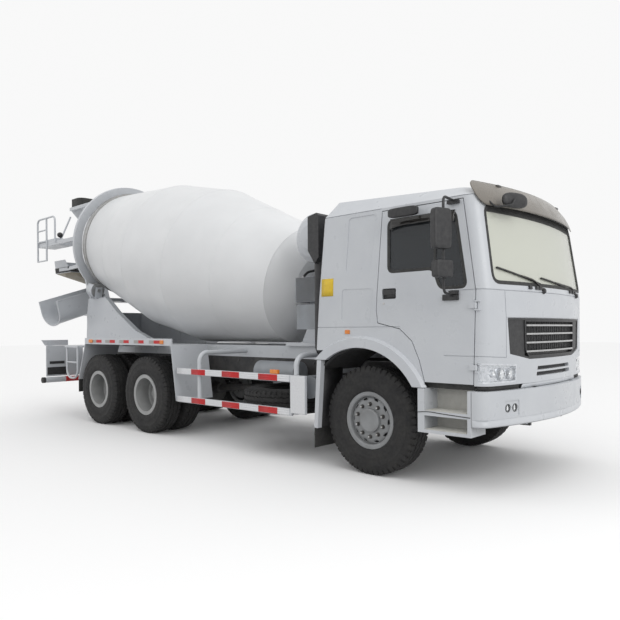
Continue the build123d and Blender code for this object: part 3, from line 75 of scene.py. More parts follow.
def repeated(shape, places):
    # copies of a shape, each moved by one place
    points, faces = shape
    places = np.asarray(places, float)
    many = (points[None] + places[:, None]).reshape(-1, 3)
    starts = np.arange(len(places))[:, None, None] * len(points)
    return many, [(group[None] + starts).reshape(-1, group.shape[1]) for group in faces]


def boxShape(x0, x1, y0, y1, z0, z1):
    # eight corners, six faces
    points = np.array([(x, y, z) for x in (x0, x1) for y in (y0, y1) for z in (z0, z1)], float)
    faces = np.array([(0, 1, 3, 2), (4, 6, 7, 5), (0, 4, 5, 1), (2, 3, 7, 6), (0, 2, 6, 4), (1, 5, 7, 3)])
    return points, [faces]


def gridShape(points, closeRows=False, closeCols=False):
    # a rows by cols grid of points as one surface
    return points.reshape(-1, 3), [gridQuads(*points.shape[:2], closeRows, closeCols)]


def sphereGrid(rows, cols):
    # unit directions (cos b cos a, cos b sin a, sin b), with b from pole to pole and a all round
    lat, lon = np.meshgrid(np.linspace(-pi / 2, pi / 2, rows), np.arange(cols) * 2 * pi / cols, indexing="ij")
    return np.stack([np.cos(lat) * np.cos(lon), np.cos(lat) * np.sin(lon), np.sin(lat)], axis=-1)


def softBlock(centre, size, power=0.3, rows=26, cols=44):
    # rounded block: each coordinate of a sphere's directions raised to a power, then scaled to size
    unit = sphereGrid(rows, cols)
    form = np.sign(unit) * np.abs(unit) ** power
    return gridShape(form * np.array(size) / 2 + np.array(centre), False, True)


def turnedAbout(shape, centre, angle):
    # turned about the vertical through centre
    points, faces = shape
    c, s = cos(radians(angle)), sin(radians(angle))
    turn = np.array([(c, -s, 0), (s, c, 0), (0, 0, 1)])
    return (points - centre) @ turn.T + centre, faces


def axisFrame(axis):
    # two directions square to an axis, and the axis
    axis = np.array(axis, float) / np.linalg.norm(axis)
    helper = np.array([0, 0, 1.0]) if abs(axis[2]) < 0.9 else np.array([1.0, 0, 0])
    u = np.cross(helper, axis)
    u /= np.linalg.norm(u)
    return u, np.cross(axis, u), axis


def around(axis, angle):
    # directions square to an axis: cos a * u + sin a * v
    u, v, w = axisFrame(axis)
    angle = np.asarray(angle)[..., None]
    return np.cos(angle) * u + np.sin(angle) * v


def revolved(profile, centre, axis, count=40, loop=False):
    # every (s, r) goes round the axis: centre + s * axis + r * the direction at angle a
    s, r = np.array(profile, float).T[..., None]
    ring = around(axis, np.arange(count) * 2 * pi / count)
    return gridShape(np.array(centre, float) + s * axisFrame(axis)[2] + r * ring[:, None], True, loop)


def roundedCorners(points, radius, steps=6):
    # at each corner p a curve (1-t)^2 a + 2t(1-t) p + t^2 b, with a and b one radius before and after p
    p = np.array(points, float)
    before, after = np.roll(p, 1, 0) - p, np.roll(p, -1, 0) - p
    before = p + before / np.linalg.norm(before, axis=1, keepdims=True) * radius
    after = p + after / np.linalg.norm(after, axis=1, keepdims=True) * radius
    t = np.linspace(0, 1, steps)[None, :, None]
    return (1 - t) ** 2 * before[:, None] + 2 * t * (1 - t) * p[:, None] + t ** 2 * after[:, None]


def roundedLoop(points, radius, steps=6):
    # closed outline with every corner rounded
    curve = roundedCorners(points, radius, steps)
    return curve.reshape(-1, curve.shape[2])


def roundedPath(points, radius, steps=6):
    # open path: both ends stay, and the corners between them are rounded
    p = np.array(points, float)
    curve = roundedCorners(points, radius, steps)[1:-1]
    return np.concatenate([p[:1], curve.reshape(-1, p.shape[1]), p[-1:]])


def roundSection(radius, count=10):
    # circle: radius * (cos a, sin a)
    angle = np.arange(count) * 2 * pi / count
    return np.stack([np.cos(angle), np.sin(angle)], axis=1) * radius


def flatSection(width, height):
    # rectangle about its middle: plus and minus half of each measure
    return np.array([(-1, -1), (1, -1), (1, 1), (-1, 1)]) * np.array([width, height]) / 2


def swept(path, section, closed=False, normal=None):
    # a section's (a, b) carried along a path: path + a * side + b * up
    path = np.asarray(path, float)
    tangent = np.roll(path, -1, 0) - np.roll(path, 1, 0) if closed else np.gradient(path, axis=0)
    tangent /= np.linalg.norm(tangent, axis=1, keepdims=True)
    if normal is None:
        choices = np.eye(3) + 0.05
        normal = choices[np.argmin(np.abs(tangent @ choices.T).max(axis=0))]
    side = np.cross(tangent, normal)
    side /= np.linalg.norm(side, axis=1, keepdims=True)
    up = np.cross(side, tangent)
    a, b = section.T[..., None]
    points, faces = gridShape(path[:, None] + a * side[:, None] + b * up[:, None], closed, True)
    if not closed:
        end = np.arange(len(section))
        faces += [end[None], end[None] + (len(path) - 1) * len(section)]
    return points, faces


def patchGrid(corners, nu, nv):
    # two parameters between four corners, blended in straight lines
    c = np.array(corners, float)
    u, v = np.meshgrid(np.linspace(0, 1, nu), np.linspace(0, 1, nv), indexing="ij")
    u, v = u[..., None], v[..., None]
    return c[0] * (1 - u) * (1 - v) + c[1] * u * (1 - v) + c[2] * u * v + c[3] * (1 - u) * v


def rect(a0, a1, b0, b1):
    # four corners from two ranges
    return [(a0, b0), (a1, b0), (a1, b1), (a0, b1)]


# finishes

finishes = {
    # colour, second colour, roughness low and high, metallic, noise scale, bump strength
    # white_paint is the cab's white painted darker than the drum's white: painted shade for the cab's sides, which
    # lie in less light
    "white_paint": ((0.565, 0.585, 0.612), (0.53, 0.55, 0.58), 0.26, 0.40, 0.0, 2.5, 0.02),
    "drum_paint": ((0.75, 0.76, 0.77), (0.70, 0.71, 0.72), 0.30, 0.42, 0.0, 1.6, 0.03),
    "frame_paint": ((0.028, 0.028, 0.031), (0.055, 0.054, 0.052), 0.45, 0.65, 0.0, 7.0, 0.08),
    "grey_steel": ((0.30, 0.32, 0.35), (0.25, 0.265, 0.28), 0.40, 0.55, 0.0, 5.0, 0.04),
    "wheel_silver": ((0.25, 0.26, 0.27), (0.20, 0.205, 0.21), 0.38, 0.55, 0.1, 9.0, 0.05),
    "machined_steel": ((0.52, 0.52, 0.52), (0.40, 0.39, 0.37), 0.28, 0.45, 0.9, 14.0, 0.03),
    "cast_grey": ((0.055, 0.055, 0.06), (0.09, 0.086, 0.08), 0.6, 0.8, 0.1, 16.0, 0.25),
    "tyre": ((0.010, 0.010, 0.011), (0.020, 0.0195, 0.019), 0.72, 0.9, 0.0, 10.0, 0.15),
    "rubber": ((0.022, 0.022, 0.022), (0.04, 0.04, 0.038), 0.6, 0.8, 0.0, 12.0, 0.12),
    "lamp": ((0.55, 0.57, 0.60), (0.75, 0.77, 0.80), 0.10, 0.22, 0.8, 30.0, 0.0),
    "red_lamp": ((0.42, 0.01, 0.01), (0.52, 0.03, 0.02), 0.08, 0.15, 0.0, 20.0, 0.0),
    "dark_plastic": ((0.018, 0.018, 0.020), (0.035, 0.035, 0.036), 0.42, 0.6, 0.0, 25.0, 0.1),
    "visor_tint": ((0.16, 0.145, 0.125), (0.20, 0.18, 0.155), 0.20, 0.34, 0.0, 3.0, 0.01),
    "orange_lens": ((0.72, 0.20, 0.03), (0.80, 0.28, 0.05), 0.12, 0.2, 0.0, 30.0, 0.0),
    "red_tape": ((0.56, 0.003, 0.006), (0.48, 0.003, 0.006), 0.42, 0.55, 0.0, 60.0, 0.03),
    "white_tape": ((0.74, 0.75, 0.77), (0.68, 0.69, 0.71), 0.25, 0.38, 0.0, 60.0, 0.03),
    "grey_tape": ((0.38, 0.36, 0.34), (0.30, 0.29, 0.28), 0.25, 0.38, 0.0, 60.0, 0.03),
    "yellow_plate": ((0.72, 0.50, 0.02), (0.66, 0.44, 0.02), 0.25, 0.38, 0.0, 40.0, 0.02),
    "chrome": ((0.80, 0.81, 0.82), (0.72, 0.73, 0.74), 0.06, 0.12, 1.0, 18.0, 0.0),
    "nut_black": ((0.030, 0.029, 0.028), (0.055, 0.052, 0.048), 0.4, 0.55, 0.3, 40.0, 0.1),
    "rim_pale": ((0.36, 0.365, 0.365), (0.30, 0.305, 0.305), 0.40, 0.55, 0.1, 9.0, 0.05),
    "bar_trim": ((0.42, 0.42, 0.42), (0.50, 0.50, 0.50), 0.25, 0.4, 0.5, 20.0, 0.02),
    "step_grey": ((0.56, 0.555, 0.52), (0.50, 0.495, 0.46), 0.45, 0.6, 0.0, 20.0, 0.1),
    "tan_panel": ((0.36, 0.32, 0.25), (0.28, 0.25, 0.20), 0.55, 0.7, 0.0, 6.0, 0.1),
    "mirror_glass": ((0.66, 0.70, 0.74), (0.60, 0.64, 0.68), 0.02, 0.05, 1.0, 8.0, 0.0),
    "hose": ((0.016, 0.016, 0.016), (0.03, 0.03, 0.03), 0.5, 0.7, 0.0, 60.0, 0.2),
}
wear = {"dirtColour": (0.46, 0.44, 0.41), "dirtTop": 1.25, "dirtShare": 0.14, "darkShare": 0.03,
        "streakScale": 1.3, "dark": ("tyre", "rubber", "dark_plastic"),
        "clean": ("chrome", "mirror_glass", "lamp", "red_lamp", "orange_lens")}


def nodeTree(name):
    # a new material, with its node tree and shader
    material = bpy.data.materials.new(name)
    material.use_nodes = True
    return material, material.node_tree, material.node_tree.nodes["Principled BSDF"]


def feed(tree, node, inputs):
    # each input is linked to another node's output, or given a value
    for name, value in inputs.items():
        if isinstance(value, bpy.types.NodeSocket):
            tree.links.new(value, node.inputs[name])
        else:
            node.inputs[name].default_value = value


def addNode(tree, kind, inputs, **settings):
    # a shader node, with its settings made before its inputs are fed
    node = tree.nodes.new("ShaderNode" + kind)
    for name, value in settings.items():
        setattr(node, name, value)
    feed(tree, node, inputs)
    return node


def objectCoords(tree, scale=(1, 1, 1)):
    coords = addNode(tree, "TexCoord", {})
    return addNode(tree, "Mapping", {"Vector": coords.outputs["Object"], "Scale": scale}).outputs["Vector"]


def noise(tree, scale, detail=4.0, stretch=(1, 1, 1)):
    # soft noise on the object's own coordinates
    inputs = {"Scale": scale, "Detail": detail, "Vector": objectCoords(tree, stretch)}
    return addNode(tree, "TexNoise", inputs).outputs["Fac"]


def ramp(tree, fac, stops):
    # colour ramp through (place, rgb) stops
    node = addNode(tree, "ValToRGB", {"Fac": fac})
    elements = node.color_ramp.elements
    while len(elements) < len(stops):
        elements.new(0.5)
    for element, (place, rgb) in zip(elements, stops):
        element.position = place
        element.color = (*rgb, 1.0)
    return node.outputs["Color"]


def bump(tree, height, strength, distance, shader):
    node = addNode(tree, "Bump", {"Strength": strength, "Distance": distance, "Height": height})
    feed(tree, shader, {"Normal": node.outputs["Normal"]})


def mathNode(tree, kind, a, b):
    return addNode(tree, "Math", {0: a, 1: b}, operation=kind).outputs[0]


def lowShare(tree, top):
    # 1 at the ground, falling to 0 at the height top, in metres
    split = addNode(tree, "SeparateXYZ", {0: objectCoords(tree)})
    inputs = {"From Min": top, "From Max": 0.2, "Value": split.outputs["Z"]}
    return addNode(tree, "MapRange", inputs).outputs["Result"]


def mixed(tree, fac, first, second):
    # colour from first to second by fac
    inputs = {"Factor": fac, "A": first, "B": (*second, 1)}
    return addNode(tree, "Mix", inputs, data_type="RGBA").outputs["Result"]


def finishMaterial(name):
    # two tones by noise, a low veil of road dust, and roughness and fine grain by more noise
    colour, second, roughLow, roughHigh, metallic, scale, bumpStrength = finishes[name]
    material, tree, shader = nodeTree(name)
    base = ramp(tree, noise(tree, scale), [(0.35, colour), (0.7, second)])
    if name not in wear["clean"]:
        streaks = noise(tree, wear["streakScale"], 5.0, (3, 3, 0.7))
        veil = mathNode(tree, "MULTIPLY", lowShare(tree, wear["dirtTop"]), streaks)
        veil = mathNode(tree, "MULTIPLY", veil, wear["darkShare" if name in wear["dark"] else "dirtShare"])
        base = mixed(tree, veil, base, wear["dirtColour"])
    rough = ramp(tree, noise(tree, scale * 3.1, 2.0), [(0.3, (roughLow,) * 3), (0.7, (roughHigh,) * 3)])
    feed(tree, shader, {"Base Color": base, "Roughness": rough, "Metallic": metallic})
    if bumpStrength:
        bump(tree, noise(tree, scale * 24, 3.0), bumpStrength, 0.002, shader)
    return material


fabricLook = {"dark": (0.030, 0.031, 0.036), "light": (0.085, 0.086, 0.095), "threadScale": 260.0}


def fabricMaterial():
    # woven cloth: two sets of fine waves, crossed, over a soft mottle
    material, tree, shader = nodeTree("seat_fabric")
    inputs = {"Scale": fabricLook["threadScale"] / 6.28, "Vector": objectCoords(tree)}
    waves = [addNode(tree, "TexWave", inputs, bands_direction=axis).outputs["Fac"] for axis in ("X", "Z")]
    weave = mathNode(tree, "MULTIPLY", *waves)
    mottle = mathNode(tree, "MULTIPLY", noise(tree, 30), 0.4)
    tone = mathNode(tree, "ADD", mathNode(tree, "MULTIPLY", weave, 0.6), mottle)
    colour = ramp(tree, tone, [(0.2, fabricLook["dark"]), (0.8, fabricLook["light"])])
    feed(tree, shader, {"Base Color": colour, "Roughness": 0.9, "Sheen Weight": 0.3})
    bump(tree, weave, 0.3, 0.001, shader)
    return material


clearLook = {
    # colour, roughness, alpha
    # glass: the windscreen's pale yellowish, mostly opaque colour is a painted reflection of the pale sky
    "glass": ((0.74, 0.755, 0.67), 0.03, 0.70),
    "side_glass": ((0.035, 0.04, 0.045), 0.03, 0.72),
    "lamp_cover": ((0.80, 0.83, 0.86), 0.03, 0.12),
    "smoked": ((0.03, 0.028, 0.026), 0.06, 0.72),
}


def clearMaterial(name):
    # see-through by alpha, with the surface's own reflection; a faint veil varies its roughness
    colour, roughness, alpha = clearLook[name]
    material, tree, shader = nodeTree(name)
    rough = ramp(tree, noise(tree, 3.0), [(0.3, (roughness,) * 3), (0.8, (roughness * 2.5,) * 3)])
    feed(tree, shader, {"Base Color": (*colour, 1), "Roughness": rough, "Alpha": alpha})
    return material


materials = {name: finishMaterial(name) for name in finishes}
materials["seat_fabric"] = fabricMaterial()
materials.update({name: clearMaterial(name) for name in clearLook})
slotOf = {s["node"]: s["material_slot"] for s in frame["record"]["subparts"]}
ownFinish = {"door_glass_right": "side_glass", "door_glass_left": "side_glass"}
ownFinish.update({f"rear_rims_{number}_{word}": "rim_pale" for number, x in rearAxles for side, word in sides})
for name, node in frame["nodes"].items():
    node.data.materials.clear()
    node.data.materials.append(materials[ownFinish.get(name, slotOf[name])])
print("materials", len(materials))

# the slot of a finish's pieces, where a piece gives none of its own
finishSlots = {"red_tape": "red_lamp", "chrome": "lamp", "mirror_glass": "lamp", "hose": "rubber",
               "bar_trim": "dark_plastic", "rim_pale": "wheel_silver"}
for name in ("white_paint", "drum_paint", "wheel_silver", "machined_steel", "cast_grey", "tyre", "rubber",
             "dark_plastic", "visor_tint", "seat_fabric"):
    finishSlots[name] = name


def makePiece(name, shape, finish, body, sharp=32.0, wall=0.0, bevel=0.0, slot=None, replaces=()):
    # a shape becomes an object: welded, painted, thickened or bevelled, and hung on its body
    points, faces = shape
    slot = slot or finishSlots.get(finish)
    mesh = bpy.data.meshes.new(name)
    mesh.from_pydata(toRow(points).tolist(), [], [face for group in faces for face in group.tolist()])
    work = bmesh.new()
    work.from_mesh(mesh)
    bmesh.ops.remove_doubles(work, verts=work.verts, dist=0.00002)
    bmesh.ops.recalc_face_normals(work, faces=work.faces)
    work.to_mesh(mesh)
    work.free()
    mesh.materials.append(materials[finish])
    mesh.shade_smooth()
    mesh.set_sharp_from_angle(angle=radians(sharp))
    piece = bpy.data.objects.new(name, mesh)
    bpy.context.scene.collection.objects.link(piece)
    if wall:
        solid = piece.modifiers.new("wall", "SOLIDIFY")
        solid.thickness = wall / 1000
        solid.offset = 0
    if bevel:
        edge = piece.modifiers.new("edge", "BEVEL")
        edge.width = bevel / 1000
        edge.segments = 2
        edge.limit_method = "ANGLE"
    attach(piece, body)
    if replaces:
        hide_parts(*replaces)
    return piece


# tyres

tyreLook = {
    "frontY": 1011.0, "rearY": (1090.0, 740.0), "centreZ": 560.0,
    "radius": 559.5, "crown": 4.0, "pitches": 50, "grooveDepth": 13.0, "zigzag": 7.0, "grooves": (-62, 0, 62),
    "lugStart": 94.0, "lugFade": 505.0, "lugEase": 40.0, "lugTop": 550.0, "lugDraft": 6.0,
    # half of the places across the tread, the other half being their mirror
    "crownPlaces": (4, 7, 30, 55, 58, 66, 69, 92, 98, 108, 118),
    # side wall from the bead to the shoulder: along the axle, radius
    "wall": [(120, 254), (120, 294), (128, 299), (138, 312), (144, 336), (147.5, 360), (148.4, 372),
             (149.8, 376), (149.8, 381), (148.6, 385), (148.6, 425), (147, 455), (148.2, 459), (148.2, 464),
             (146, 468), (142, 492), (137, 510), (131, 530), (125, 545)],
    # places within a pitch, and whether the lug's gap is open there
    "pitchPlaces": (0.0, 0.04, 0.15, 0.26, 0.30, 0.475, 0.65, 0.825), "gapOpen": (0, 1, 1, 1, 0, 0, 0, 0),
    "spare": (-1650, -640, 630), "disc": [(-10, 0), (-10, 254), (10, 254), (10, 0)],
    "carrier": (-1650, -400, 636), "post": [(0, 0), (0, 30), (185, 30), (185, 0)],
}


def tyreShape(centre, axis):
    # angle by profile grid: the profile goes round the axle, less the depth of the zigzag grooves and of the
    # gaps between shoulder lugs
    look = tyreLook
    wall = np.array(look["wall"], float)
    half = np.array(look["crownPlaces"], float)
    flat = np.concatenate([-half[::-1], half])
    fromGroove = np.abs(flat[:, None] - np.array(look["grooves"])).min(axis=1)
    isGroove, follows = (np.pad((fromGroove < near).astype(float), len(wall)) for near in (5, 8))
    s = np.concatenate([-wall[:, 0], flat, wall[::-1, 0]])
    r = np.concatenate([wall[:, 1], look["radius"] - look["crown"] * (flat / half[-1]) ** 2, wall[::-1, 1]])
    place = np.concatenate([np.array(look["pitchPlaces"]) + p for p in range(look["pitches"])])
    gap = np.tile(np.array(look["gapOpen"], float), look["pitches"])[:, None]
    wave = np.abs((place % 1) * 2 - 1)[:, None] * 2 - 1
    lug = (np.abs(s) > look["lugStart"]) * np.clip((r - look["lugFade"]) / look["lugEase"], 0, 1)
    radius = r - look["grooveDepth"] * np.maximum(isGroove, gap * lug)
    along = s + wave * look["zigzag"] * follows
    along = along - np.sign(s) * gap * (lug * (r < look["lugTop"])) * look["lugDraft"]
    ring = around(axis, place / look["pitches"] * 2 * pi)
    points = np.array(centre, float) + along[..., None] * axisFrame(axis)[2] + radius[..., None] * ring[:, None]
    return gridShape(points, True, True)


def makeTyres():
    # single tyres in front, twins behind, and the spare lying flat on its carrier
    look = tyreLook
    for side, word in sides:
        axle = (0, side, 0)
        makePiece(f"tread_front_{word}", tyreShape((0, side * look["frontY"], look["centreZ"]), axle), "tyre",
                  f"front_wheel_{word}", 40, replaces=[f"front_tyre_{word}"])
        for number, x in rearAxles:
            pair = joined(*[tyreShape((x, side * y, look["centreZ"]), axle) for y in look["rearY"]])
            makePiece(f"tread_rear_{number}_{word}", pair, "tyre", f"rear_wheels_{number}_{word}", 40,
                      replaces=[f"rear_tyres_{number}_{word}"])
    up = (0, 0, 1)
    makePiece("spare_tyre", tyreShape(look["spare"], up), "tyre", "chassis", 40, replaces=["spare_wheel"])
    carrier = joined(revolved(look["disc"], look["spare"], up), revolved(look["post"], look["carrier"], up, 16))
    makePiece("spare_disc", carrier, "grey_steel", "chassis", slot="wheel_silver")


# wheel discs and nuts

discLook = {
    "nutCircle": 167.0, "nuts": 10, "slots": 10, "slotHalf": 6.2, "slotRings": (7, 9), "slotMiddle": 222.0,
    "slant": 0.22, "slantReach": 12.0, "nutRise": 110.0, "nutTurn": 18.0,
    # rings of the disc: radius, distance out along the axle
    "rings": [(60, 137), (112, 136), (118, 133), (122, 108), (150, 108), (182, 107), (192, 105), (212, 102),
              (222.5, 97), (233, 92), (238, 88), (243, 84)],
    "barrel": [(-132, 244), (-132, 290), (-128, 296), (-120, 296), (-120, 262), (-104, 254), (-40, 252),
               (-20, 246), (30, 246), (60, 252), (104, 254), (120, 262), (120, 296), (128, 296), (132, 290),
               (132, 262), (124, 250), (96, 243), (-96, 243)],
    "brakeDrum": [(-8, 54), (-8, 205), (-103, 205), (-103, 191), (-22, 191), (-22, 54)],
    "cap": [(128, 0), (128, 112), (139, 112), (142, 108), (142, 92), (141, 88), (141, 0)],
}


def discWithSlots(centre, axis):
    # polar grid: rings bulge outwards towards the hub, and the cells of the slots are left open
    look = discLook
    period, half = 360 / look["slots"], look["slotHalf"]
    part = np.array([-half, -half * 0.6, 0, half * 0.6, half, period * 0.30, period * 0.5, period * 0.70])
    angle = radians(1) * np.concatenate([part + k * period for k in range(look["slots"])])
    radius, rise = np.array(look["rings"], float).T
    fromSlot = radius - look["slotMiddle"]
    lean = radians(1) * look["slant"] * fromSlot * (np.abs(fromSlot) < look["slantReach"])
    ring = around(axis, angle[:, None] + lean)
    points = np.array(centre, float) + rise[:, None] * axisFrame(axis)[2] + radius[:, None] * ring
    quads = gridQuads(len(angle), len(radius), True)
    row, col = quads[:, 0] // len(radius), quads[:, 0] % len(radius)
    first, last = look["slotRings"]
    openCell = (row % len(part) < 4) & (col >= first) & (col < last)
    return points.reshape(-1, 3), [quads[~openCell]]


def wheelNuts(centre, axis, circle, count, rise, start=0.0):
    # hexagons on a washer, on a circle round the axle, with the stud's end on top
    angle = radians(start) + np.arange(count) * 2 * pi / count
    places = circle * around(axis, angle) + rise * axisFrame(axis)[2]
    washer = revolved([(-1, 0), (-1, 23), (5, 22), (5, 0)], centre, axis, 14)
    nut = revolved([(4, 0), (4, 17.5), (22, 17.5), (26, 14), (26, 0)], centre, axis, 6)
    stud = revolved([(20, 0), (20, 9.5), (34, 9.5), (36, 7), (36, 0)], centre, axis, 10)
    return repeated(joined(washer, nut), places), repeated(stud, places)


def makeFrontRims():
    # barrel and brake drum, slotted disc, hub cap, and a circle of nuts and studs
    look = discLook
    for side, word in sides:
        centre, axis = (0, side * tyreLook["frontY"], tyreLook["centreZ"]), (0, side, 0)
        body = f"front_wheel_{word}"
        barrel = joined(revolved(look["barrel"], centre, axis, 56, True),
                        revolved(look["brakeDrum"], centre, axis, 48, True))
        makePiece(f"rim_barrel_{word}", barrel, "wheel_silver", body, replaces=[f"front_rim_{word}"])
        makePiece(f"rim_disc_{word}", discWithSlots(centre, axis), "wheel_silver", body, 40, wall=8)
        makePiece(f"hub_cap_{word}", revolved(look["cap"], centre, axis, 48), "wheel_silver", body)
        nuts, studs = wheelNuts(centre, axis, look["nutCircle"], look["nuts"], look["nutRise"], look["nutTurn"])
        makePiece(f"front_nuts_{word}", nuts, "nut_black", body)
        makePiece(f"front_studs_{word}", studs, "machined_steel", body)


hubLook = {"y": 915.0, "nutCircle": 170.0, "nuts": 10, "nutRise": 15.0, "boltCircle": 84.0, "bolts": 12,
           "bolt": [(128, 0), (128, 9), (140, 9), (140, 0)],
           "flange": [(119, 0), (119, 104), (128, 104), (131, 100), (131, 60), (136, 52), (136, 0)]}


def makeRearHubs():
    # a circle of nuts and studs, and the hub's flange with its small bolts
    look = hubLook
    turns = np.arange(look["bolts"]) * 2 * pi / look["bolts"]
    circle = np.stack([np.cos(turns), turns * 0, np.sin(turns)], axis=1) * look["boltCircle"]
    for side, word in sides:
        for number, x in rearAxles:
            centre, axis = (x, side * look["y"], tyreLook["centreZ"]), (0, side, 0)
            body = f"rear_wheels_{number}_{word}"
            nuts, studs = wheelNuts(centre, axis, look["nutCircle"], look["nuts"], look["nutRise"])
            makePiece(f"rear_nuts_{number}_{word}", nuts, "nut_black", body)
            makePiece(f"rear_studs_{number}_{word}", studs, "machined_steel", body)
            bolts = repeated(revolved(look["bolt"], centre, axis, 6), circle)
            flange = joined(revolved(look["flange"], centre, axis), bolts)
            makePiece(f"hub_flange_{number}_{word}", flange, "rim_pale", body)


makeTyres()
makeFrontRims()
makeRearHubs()
print("wheels ready")


# side guards, mudguard lamp rails and underrun bar

guardLook = {"outerY": 1245.0, "rib": 2.4, "step": 150.0, "railRear": -3188.0, "railFront": -1045.0,
             "rails": ((905, 985), (525, 605)), "redBlocks": ((-2867, -2570), (-2232, -1899), (-1557, -1235)),
             "marker": (-1366, -1240, 985.3, 1036), "plate": (-1024, -806, 560, 980)}


def ribbedStrip(x0, x1, y, z0, z1, lift):
    # strip along x whose section has three shallow ribs: out = lift + rib * sin^2
    t = np.linspace(0, 1, 25)
    z = z0 + (z1 - z0) * t
    out = lift + guardLook["rib"] * np.sin(3 * pi * t) ** 2
    x = np.linspace(x0, x1, max(2, int(abs(x1 - x0) / guardLook["step"])))
    return gridShape(np.stack(np.broadcast_arrays(x[:, None], y + np.sign(y) * out, z), axis=-1))


def makeGuardTapes():
    # ribbed strips along the rails, red blocks on them, a lamp and an end plate
    look = guardLook
    for side, word in sides:
        y = side * look["outerY"]
        whole = [ribbedStrip(look["railRear"], look["railFront"], y, z0 + 3, z1 - 3, 0.6)
                 for z0, z1 in look["rails"]]
        makePiece(f"guard_ribs_{word}", joined(*whole), "white_tape", "chassis", 60, wall=1.0)
        red = [ribbedStrip(x0, x1, y, z0 + 4, z1 - 4, 1.8)
               for z0, z1 in look["rails"] for x0, x1 in look["redBlocks"]]
        makePiece(f"guard_red_{word}", joined(*red), "red_tape", "chassis", 60, wall=1.0)
        x0, x1, z0, z1 = look["marker"]
        lens = boxShape(x0, x1, y - side * 46, y - side * 2, z0, z1)
        makePiece(f"guard_marker_{word}", lens, "orange_lens", "chassis", bevel=8)
        x0, x1, z0, z1 = look["plate"]
        plate = boxShape(x0, x1, y - side, y + side * 2.5, z0, z1)
        makePiece(f"guard_plate_{word}", plate, "white_tape", "chassis", bevel=1.2)


railLook = {"z": 1333.0, "height": 46.0, "orange": ((-5632, -5497), (-3596, -3496)),
            "strips": ((-5497, -5389, -5224), (-5114, -4972, -4816), (-4690, -4562, -4415),
                       (-4281, -4150, -4012), (-3877, -3749, -3596))}


def makeRailLamps():
    # lenses, and red and grey tapes in turn along the rail
    look = railLook
    z0, z1 = look["z"] - look["height"] / 2, look["z"] + look["height"] / 2
    for side, word in sides:
        y = side * guardLook["outerY"]
        lenses = [boxShape(x0 + 8, x1 - 8, y, y + side * 16, z0 - 4, z1 + 4) for x0, x1 in look["orange"]]
        red = [boxShape(x1, x2, y, y + side * 2, z0, z1) for x0, x1, x2 in look["strips"]]
        grey = [boxShape(x0 + 6, x1, y, y + side * 2, z0, z1) for x0, x1, x2 in look["strips"]]
        makePiece(f"rail_lamps_{word}", joined(*lenses), "orange_lens", "chassis", bevel=7)
        makePiece(f"rail_red_{word}", joined(*red), "red_tape", "chassis")
        makePiece(f"rail_grey_{word}", joined(*grey), "grey_tape", "chassis")


underrunLook = {"centre": (-7400, 0, 600), "radius": 50.9, "red": ((-814, -500), (-150, 150), (500, 814)),
                "cap": [(1190, 49), (1190, 53), (1238, 53), (1243, 47), (1243, 0)]}


def makeUnderrun():
    # sleeves round the bar and rounded caps at its ends, each turned about the bar
    look = underrunLook
    r, centre = look["radius"], look["centre"]
    sleeves = [revolved([(y0, 48), (y0, r), (y1, r), (y1, 48)], centre, (0, 1, 0)) for y0, y1 in look["red"]]
    caps = [revolved(look["cap"], centre, (0, side, 0)) for side in (-1, 1)]
    makePiece("underrun_red", joined(*sleeves), "red_tape", "chassis")
    makePiece("underrun_caps", joined(*caps), "rubber", "chassis")


tailLook = {"x": -7446.0, "low": 1006.0, "high": 1094.0, "ribs": (1028, 1050, 1072), "ribY": (796, 1104),
            "backX": (-7427, -7421),
            "lenses": (("orange_lens", 796, 896), ("red_lamp", 900, 1002), ("lamp_cover", 1006, 1104)),
            "backs": ((770, 1130, 690, 830), (810, 1090, 890, 940))}


def makeTailLamps():
    # lenses in a row on each side, thin ribs over them, and dark backs of the panel
    look = tailLook
    x = look["x"]
    for finish, y0, y1 in look["lenses"]:
        both = [boxShape(x - 14, x, side * y0, side * y1, look["low"], look["high"]) for side in (-1, 1)]
        makePiece(f"tail_{finish}", joined(*both), finish, "chassis", bevel=6)
    backs = [boxShape(*look["backX"], side * y0, side * y1, z0, z1)
             for side in (-1, 1) for y0, y1, z0, z1 in look["backs"]]
    makePiece("panel_backs", joined(*backs), "dark_plastic", "chassis")
    y0, y1 = look["ribY"]
    ribs = [boxShape(x - 18, x - 12, side * y0, side * y1, z - 1.5, z + 1.5)
            for side in (-1, 1) for z in look["ribs"]]
    makePiece("tail_ribs", joined(*ribs), "red_lamp", "chassis")


makeGuardTapes()
makeRailLamps()
makeUnderrun()
makeTailLamps()
print("tapes and rear lamps ready")


# cab surfaces

cabForm = {"half": 1200.0, "front": 1470.0, "planRadius": 4700.0, "corner": 130.0, "belt": 1848.0,
           "lean": 0.155, "eaves": 2700.0, "taper": 30.0}


def cabSideY(z):
    # half width at a height: upright to the belt, then leaning in
    form = cabForm
    return form["half"] - form["taper"] * np.clip((z - form["belt"]) / (form["eaves"] - form["belt"]), 0, 1)


def cabFrontX(y, z):
    # front face at a place: a large arc in plan that runs into a round corner, leaning back above the belt
    form = cabForm
    front = form["front"] - form["lean"] * np.maximum(z - form["belt"], 0)
    corner, plan = form["corner"], form["planRadius"]
    centreY = cabSideY(z) - corner
    centreX = np.sqrt((plan - corner) ** 2 - centreY ** 2) - plan
    touchY = centreY * plan / (plan - corner)
    size = np.abs(y)
    arc = np.sqrt(plan ** 2 - np.minimum(size, touchY) ** 2) - plan
    bend = centreX + np.sqrt(np.maximum(corner ** 2 - np.maximum(size - centreY, 0) ** 2, 0))
    return front + np.where(size <= touchY, arc, bend)


def onFront(places, depth):
    # (y, z) places laid on the front face: x = face - depth
    y, z = np.moveaxis(np.asarray(places, float), -1, 0)
    return np.stack([cabFrontX(y, z) - depth, y, z], axis=-1)


def onSide(places, depth, side):
    # (x, z) places laid on the cab's side: y = side * (half width - depth)
    x, z = np.moveaxis(np.asarray(places, float), -1, 0)
    return np.stack([x, side * (cabSideY(z) - depth), z], axis=-1)


